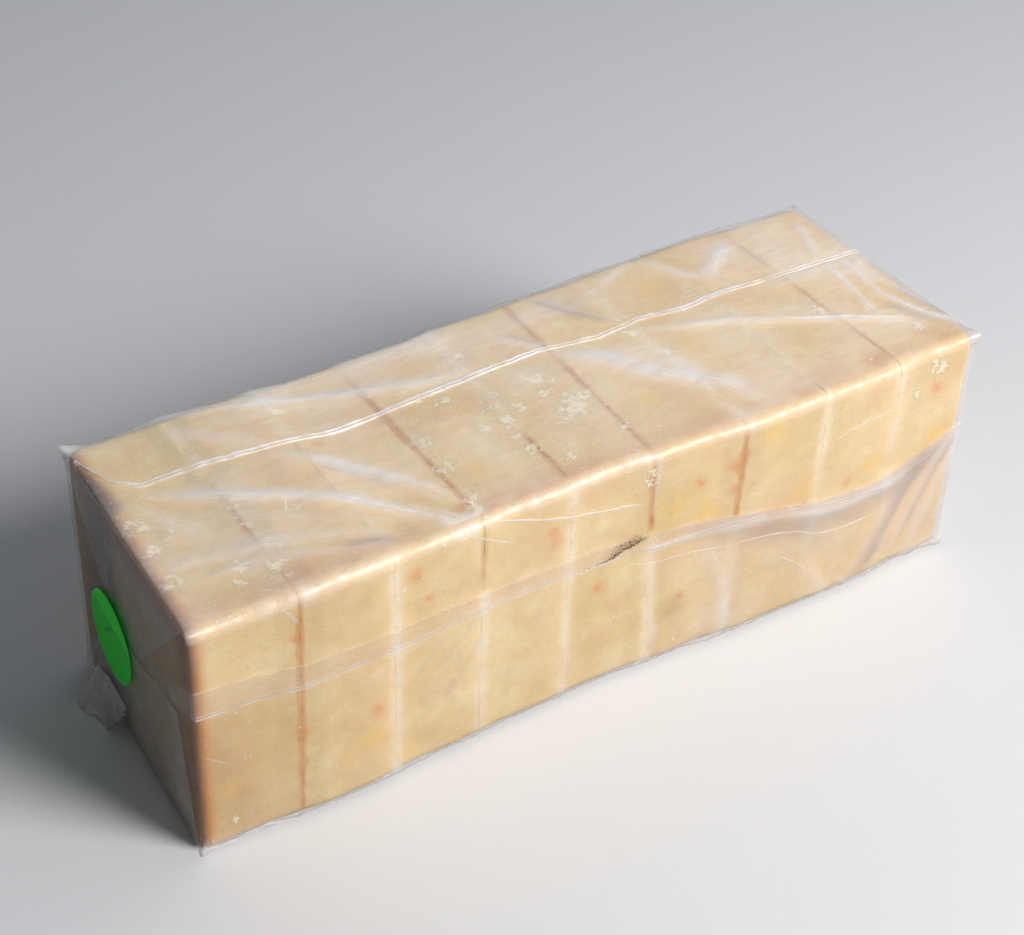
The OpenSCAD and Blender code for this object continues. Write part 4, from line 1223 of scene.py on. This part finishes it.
def grain_group():
    """The cloudy grain that the materials share: a value, and a mask from 0 to 1 between two levels of it."""
    name = "cloudy_grain"
    if name in bpy.data.node_groups:
        return bpy.data.node_groups[name]
    group = bpy.data.node_groups.new(name, "ShaderNodeTree")
    group.interface.new_socket(name="Place", in_out="INPUT", socket_type="NodeSocketVector")
    for label, value in (("Scale", 100.0), ("Detail", 3.0), ("Roughness", 0.5), ("Low", 0.3), ("High", 0.7)):
        made = group.interface.new_socket(name=label, in_out="INPUT", socket_type="NodeSocketFloat")
        made.default_value = value
    for label in ("Value", "Mask"):
        group.interface.new_socket(name=label, in_out="OUTPUT", socket_type="NodeSocketFloat")
    given, result = group.nodes.new("NodeGroupInput"), group.nodes.new("NodeGroupOutput")
    cloud, between = group.nodes.new("ShaderNodeTexNoise"), group.nodes.new("ShaderNodeMapRange")
    link(group, given.outputs["Place"], cloud.inputs["Vector"])
    for label in ("Scale", "Detail", "Roughness"):
        link(group, given.outputs[label], cloud.inputs[label])
    link(group, given.outputs["Low"], between.inputs["From Min"])
    link(group, given.outputs["High"], between.inputs["From Max"])
    link(group, cloud.outputs["Fac"], between.inputs["Value"])
    link(group, cloud.outputs["Fac"], result.inputs["Value"])
    link(group, between.outputs["Result"], result.inputs["Mask"])
    return group


def grain(tree, place, scale, detail=3.0, rough=0.5, low=0.3, high=0.7, output="Mask"):
    """The cloudy grain in a material, with the material's own values."""
    n = tree.nodes.new("ShaderNodeGroup")
    n.node_tree = grain_group()
    link(tree, place, n.inputs["Place"])
    values = {"Scale": scale, "Detail": detail, "Roughness": rough, "Low": low, "High": high}
    for label, value in values.items():
        n.inputs[label].default_value = value
    return n.outputs[output]


def span(tree, value, low, high, to_low=0.0, to_high=1.0):
    """A value's span from low to high, stretched to another span and held within it."""
    n = tree.nodes.new("ShaderNodeMapRange")
    limits = {"From Min": low, "From Max": high, "To Min": to_low, "To Max": to_high}
    for label, limit in limits.items():
        n.inputs[label].default_value = limit
    link(tree, value, n.inputs["Value"])
    return n.outputs["Result"]


def calculate(tree, operation, a, b=0.0):
    """A sum, product or other operation on two values, each a number or a node's output."""
    n = tree.nodes.new("ShaderNodeMath")
    n.operation = operation
    for into, value in zip(n.inputs, (a, b)):
        if isinstance(value, (int, float)):
            into.default_value = value
        else:
            link(tree, value, into)
    return n.outputs[0]


def total(tree, a, b):
    return calculate(tree, "ADD", a, b)


def product(tree, a, b):
    return calculate(tree, "MULTIPLY", a, b)


def blend_colour(tree, fac, a, b):
    """Colour a, turned into colour b by the share fac."""
    n = tree.nodes.new("ShaderNodeMix")
    n.data_type = "RGBA"
    for name, kind, value in (("Factor", "VALUE", fac), ("A", "RGBA", a), ("B", "RGBA", b)):
        into = next(socket for socket in n.inputs if socket.name == name and socket.type == kind)
        if isinstance(value, (int, float)):
            into.default_value = value
        elif isinstance(value, tuple):
            into.default_value = (*value, 1.0)
        else:
            link(tree, value, into)
    return next(socket for socket in n.outputs if socket.type == "RGBA")


def blend_shader(tree, fac, first, second):
    """The first shader, turned into the second by the share fac."""
    n = tree.nodes.new("ShaderNodeMixShader")
    for into, value in zip(n.inputs, (fac, first, second)):
        link(tree, value, into)
    return n.outputs[0]


def mark(tree, name):
    """A value that the mesh carries on its points."""
    n = tree.nodes.new("ShaderNodeAttribute")
    n.attribute_type = "GEOMETRY"
    n.attribute_name = name
    return n.outputs["Fac"]


def marked(tree, name, share):
    return product(tree, mark(tree, name), share)


def tinted(tree, colour, tints):
    """A colour with the tint of each mark laid over it."""
    for name, share, tint in tints:
        colour = blend_colour(tree, marked(tree, name, share), colour, srgb(*tint))
    return colour


def seen_ray(tree):
    """1 for a ray that looks at a surface, directly, in a reflection or through glass, and 0 for light."""
    ray = tree.nodes.new("ShaderNodeLightPath")
    mirrored = calculate(tree, "MAXIMUM", ray.outputs["Is Glossy Ray"], ray.outputs["Is Transmission Ray"])
    return calculate(tree, "MAXIMUM", ray.outputs["Is Camera Ray"], mirrored)


def bump(tree, height, distance):
    """Normals of a surface that rises by the distance, in metres, where the height is 1."""
    n = tree.nodes.new("ShaderNodeBump")
    n.inputs["Distance"].default_value = distance
    link(tree, height, n.inputs["Height"])
    return n.outputs["Normal"]


def srgb(r, g, b):
    """Linear colour of a colour as it looks on a screen, from 0 to 255."""
    def one(v):
        v /= 255.0
        return v / 12.92 if v <= 0.04045 else ((v + 0.055) / 1.055) ** 2.4
    return one(r), one(g), one(b)


def soap_material():
    """Pale tan wax with pink and cream clouds, stains, smeared seams, flakes and a worn edge, with painted
    shade, glow and highlight on its edges and its left end.
    """
    made, tree, out = new_material("soap")
    place = tree.nodes.new("ShaderNodeTexCoord").outputs["Object"]
    skin = tree.nodes.new("ShaderNodeBsdfPrincipled")

    broad = grain(tree, place, 38, 3, 0.55)
    mottle = grain(tree, place, 150, 4, 0.62, 0.38, 0.66)
    pink = grain(tree, place, 62, 4, 0.6, 0.5, 0.68)
    cream = grain(tree, place, 84, 4, 0.65, 0.52, 0.7)
    fine = grain(tree, place, 900, 3, 0.6, output="Value")
    colour = blend_colour(tree, broad, *(srgb(*tone) for tone in SOAP_GROUND))
    for cloud, (share, tone) in ((mottle, SOAP_MOTTLE), (pink, PINK_CLOUD), (cream, CREAM_CLOUD)):
        colour = blend_colour(tree, product(tree, cloud, share), colour, srgb(*tone))
    colour = tinted(tree, colour, SOAP_TINTS)

    seam = mark(tree, "seam")
    ragged = total(tree, 0.6, product(tree, mottle, 0.5))
    brown = product(tree, span(tree, seam, 0.08, 0.7, 0, 0.9), ragged)
    colour = blend_colour(tree, brown, colour, srgb(*BROWN_SEAM))
    pale = product(tree, span(tree, seam, -0.05, -0.9, 0, 0.55), ragged)
    colour = blend_colour(tree, pale, colour, srgb(*PALE_SEAM))

    clots = product(tree, grain(tree, place, 430, 4, 0.72, output="Value"), 1.15)
    chips = product(tree, grain(tree, place, 1500, 3, 0.6, output="Value"), 0.55)
    flake = span(tree, total(tree, total(tree, clots, chips), marked(tree, "flake", 0.25)), 1.045, 1.07)
    beside_seam = product(tree, span(tree, calculate(tree, "ABSOLUTE", seam), 0.05, 0.5), 0.03)
    crumb = total(tree, grain(tree, place, 620, 3, 0.7, output="Value"), beside_seam)
    crumb = span(tree, total(tree, crumb, marked(tree, "crumbly", 0.07)), 0.69, 0.71)
    flake = calculate(tree, "MAXIMUM", flake, crumb)
    colour = blend_colour(tree, product(tree, flake, 0.8), colour, srgb(*FLAKE))
    link(tree, tinted(tree, colour, RIM_TINTS), skin.inputs["Base Color"])

    link(tree, span(tree, mottle, 0, 1, 0.55, 0.7), skin.inputs["Roughness"])
    skin.inputs["Specular IOR Level"].default_value = 0.25
    rise = total(tree, product(tree, fine, 0.12), product(tree, flake, 0.8))
    rise = total(tree, rise, product(tree, mottle, 0.25))
    link(tree, bump(tree, rise, 0.00018), skin.inputs["Normal"])
    link(tree, skin.outputs[0], out.inputs["Surface"])
    return made


def film_material():
    """Clear glossy film that is milky where it is folded, partly as painted highlight and reflection, with
    painted shade where its layers lie doubled or in folds, and that lets the lamps' light through.
    """
    made, tree, out = new_material("clear_film")
    place = tree.nodes.new("ShaderNodeTexCoord").outputs["Object"]
    turned = tree.nodes.new("ShaderNodeMapping")
    turned.inputs["Rotation"].default_value = (0.3, 0.2, 0.65)
    turned.inputs["Scale"].default_value = (0.3, 1.6, 1.3)
    link(tree, place, turned.inputs["Vector"])
    streak = grain(tree, turned.outputs["Vector"], 210, 3, 0.5, output="Value")
    fine = grain(tree, turned.outputs["Vector"], 1100, 2, 0.5, output="Value")
    normal = bump(tree, total(tree, streak, product(tree, fine, 0.25)), 0.00022)

    in_fold = tree.nodes.new("ShaderNodeCombineXYZ")
    link(tree, mark(tree, "across"), in_fold.inputs[0])
    link(tree, marked(tree, "along", 0.06), in_fold.inputs[1])
    fibre = grain(tree, in_fold.outputs[0], 1.2, 4, 0.6, 0.34, 0.66)
    haze = product(tree, mark(tree, "haze"), span(tree, streak, 0.3, 0.7, 0.85, 1.15))
    haze = total(tree, haze, span(tree, streak, 0.55, 0.85, 0.0, 0.04))
    haze = total(tree, haze, product(tree, mark(tree, "fold"), span(tree, fibre, 0, 1, 0.55, 1.45)))

    clear = tree.nodes.new("ShaderNodeBsdfTransparent")
    milky = tree.nodes.new("ShaderNodeBsdfPrincipled")
    # painted shade of the film's folds and doubled layers, and its dirt smudge
    shade = blend_colour(tree, mark(tree, "dull"), srgb(*FILM_MILK), srgb(*FILM_SHADE_AND_DIRT))
    link(tree, shade, milky.inputs["Base Color"])
    milky.inputs["Roughness"].default_value = MILK_ROUGH
    link(tree, normal, milky.inputs["Normal"])
    body = blend_shader(tree, calculate(tree, "MINIMUM", haze, FULL_HAZE), clear.outputs[0], milky.outputs[0])

    gloss = tree.nodes.new("ShaderNodeBsdfGlossy")
    gloss.inputs["Roughness"].default_value = GLOSS_ROUGH
    link(tree, normal, gloss.inputs["Normal"])
    rim = tree.nodes.new("ShaderNodeFresnel")
    rim.inputs["IOR"].default_value = FILM_IOR
    link(tree, normal, rim.inputs["Normal"])
    shine = calculate(tree, "MINIMUM", product(tree, rim.outputs[0], GLOSS_SHARE), FULL_GLOSS)
    skin = blend_shader(tree, shine, body, gloss.outputs[0])

    ray = tree.nodes.new("ShaderNodeLightPath")
    open_air = tree.nodes.new("ShaderNodeBsdfTransparent")
    whole = blend_shader(tree, ray.outputs["Is Shadow Ray"], skin, open_air.outputs[0])
    link(tree, whole, out.inputs["Surface"])
    return made


def label_material():
    """Coated paper of a dayglow green, which shines a little of its own accord."""
    made, tree, out = new_material("green_label")
    place = tree.nodes.new("ShaderNodeTexCoord").outputs["Object"]
    paper = tree.nodes.new("ShaderNodeBsdfPrincipled")
    fibre = grain(tree, place, 1500, 3, 0.6)
    colour = blend_colour(tree, fibre, *(srgb(*green) for green in LABEL_GREENS))
    colour = tinted(tree, colour, LABEL_TINTS)
    link(tree, colour, paper.inputs["Base Color"])
    link(tree, span(tree, fibre, 0, 1, 0.45, 0.6), paper.inputs["Roughness"])
    link(tree, bump(tree, fibre, 0.00004), paper.inputs["Normal"])
    link(tree, colour, paper.inputs["Emission Color"])
    paper.inputs["Emission Strength"].default_value = LABEL_SHINE
    link(tree, paper.outputs[0], out.inputs["Surface"])
    return made


def dirt_material():
    """Dry brown dirt."""
    made, tree, out = new_material("dirt")
    place = tree.nodes.new("ShaderNodeTexCoord").outputs["Object"]
    skin = tree.nodes.new("ShaderNodeBsdfPrincipled")
    crumbs = grain(tree, place, 2400, 2, 0.5)
    colour = blend_colour(tree, crumbs, *(srgb(*brown) for brown in DIRT_BROWNS))
    link(tree, colour, skin.inputs["Base Color"])
    skin.inputs["Roughness"].default_value = 0.9
    link(tree, skin.outputs[0], out.inputs["Surface"])
    return made


def floor_material():
    """Pale where it is seen, directly or in a reflection, and darker for the light that it throws back."""
    made, tree, out = new_material("pale_floor")
    seen = tree.nodes.new("ShaderNodeBsdfDiffuse")
    seen.inputs["Color"].default_value = (*srgb(*FLOOR_SEEN), 1)
    thrown = tree.nodes.new("ShaderNodeBsdfDiffuse")
    thrown.inputs["Color"].default_value = (*srgb(*FLOOR_THROWN), 1)
    both = blend_shader(tree, seen_ray(tree), thrown.outputs[0], seen.outputs[0])
    link(tree, both, out.inputs["Surface"])
    return made


# Setting

def build_floor():
    corners = [[[x, y, 0.0] for x in (-FLOOR_HALF, FLOOR_HALF)] for y in (-FLOOR_HALF, FLOOR_HALF)]
    work = Patchwork()
    work.grid(np.array(corners))
    floor = work.build("floor")
    floor.data.materials.append(floor_material())


def area_light(name, towards, distance, size, power):
    """A round lamp in a direction from the loaf's middle, turned towards it, with its measures in metres."""
    data = bpy.data.lights.new(name, "AREA")
    data.shape = "DISK"
    data.size = size
    data.energy = power
    lamp = bpy.data.objects.new(name, data)
    direction = Vector(towards).normalized()
    lamp.location = direction * distance + Vector((0, 0, AIM_Z))
    lamp.rotation_euler = direction.to_track_quat("Z", "Y").to_euler()
    bpy.context.scene.collection.objects.link(lamp)


def build_lights():
    """A soft lamp at the right front, and a world that is brighter on the right and pale where it is seen."""
    area_light("key", KEY_TOWARDS, KEY_AWAY, KEY_SIZE, KEY_POWER)
    world = bpy.data.worlds.new("studio")
    bpy.context.scene.world = world
    world.use_nodes = True
    tree = world.node_tree
    tree.nodes.clear()
    out = tree.nodes.new("ShaderNodeOutputWorld")
    direction = tree.nodes.new("ShaderNodeTexCoord").outputs["Generated"]
    parts = tree.nodes.new("ShaderNodeSeparateXYZ")
    link(tree, direction, parts.inputs[0])
    ambient = tree.nodes.new("ShaderNodeBackground")
    link(tree, span(tree, parts.outputs["X"], -0.4, 0.6, WORLD_DIM, WORLD_BRIGHT), ambient.inputs["Strength"])
    ambient.inputs["Color"].default_value = (*srgb(*WORLD_LIGHT), 1)
    pale = tree.nodes.new("ShaderNodeBackground")
    pale.inputs["Color"].default_value = (*srgb(*WORLD_SEEN), 1)
    pale.inputs["Strength"].default_value = WORLD_SEEN_STRENGTH
    both = blend_shader(tree, seen_ray(tree), ambient.outputs[0], pale.outputs[0])
    link(tree, both, out.inputs["Surface"])


def build_camera():
    data = bpy.data.cameras.new("camera")
    data.sensor_width = SENSOR_W
    data.lens = CAMERA_LENS
    data.clip_start = 0.01
    camera = bpy.data.objects.new("camera", data)
    turn = Matrix((CAMERA_RIGHT, CAMERA_UP, CAMERA_BACK)).transposed()
    camera.matrix_world = Matrix.Translation(CAMERA_AT) @ turn.to_4x4()
    bpy.context.scene.collection.objects.link(camera)
    bpy.context.scene.camera = camera


def build():
    bpy.context.scene.view_settings.view_transform = "Standard"
    build_camera()
    build_lights()
    build_floor()
    soap = soap_material()
    for i, node in enumerate(CAKES):
        cake = soap_cake(i)
        cake.data.materials.append(soap)
        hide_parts(node)
        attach(cake, "root")
    film = build_film()
    film.data.materials.append(film_material())
    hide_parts("film_wrap")
    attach(film, "root")
    label = build_label("round_label")
    label.data.materials.append(label_material())
    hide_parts("round_label")
    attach(label, "root")
    specks = build_specks()
    specks.data.materials.append(dirt_material())
    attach(specks, "root")


build()
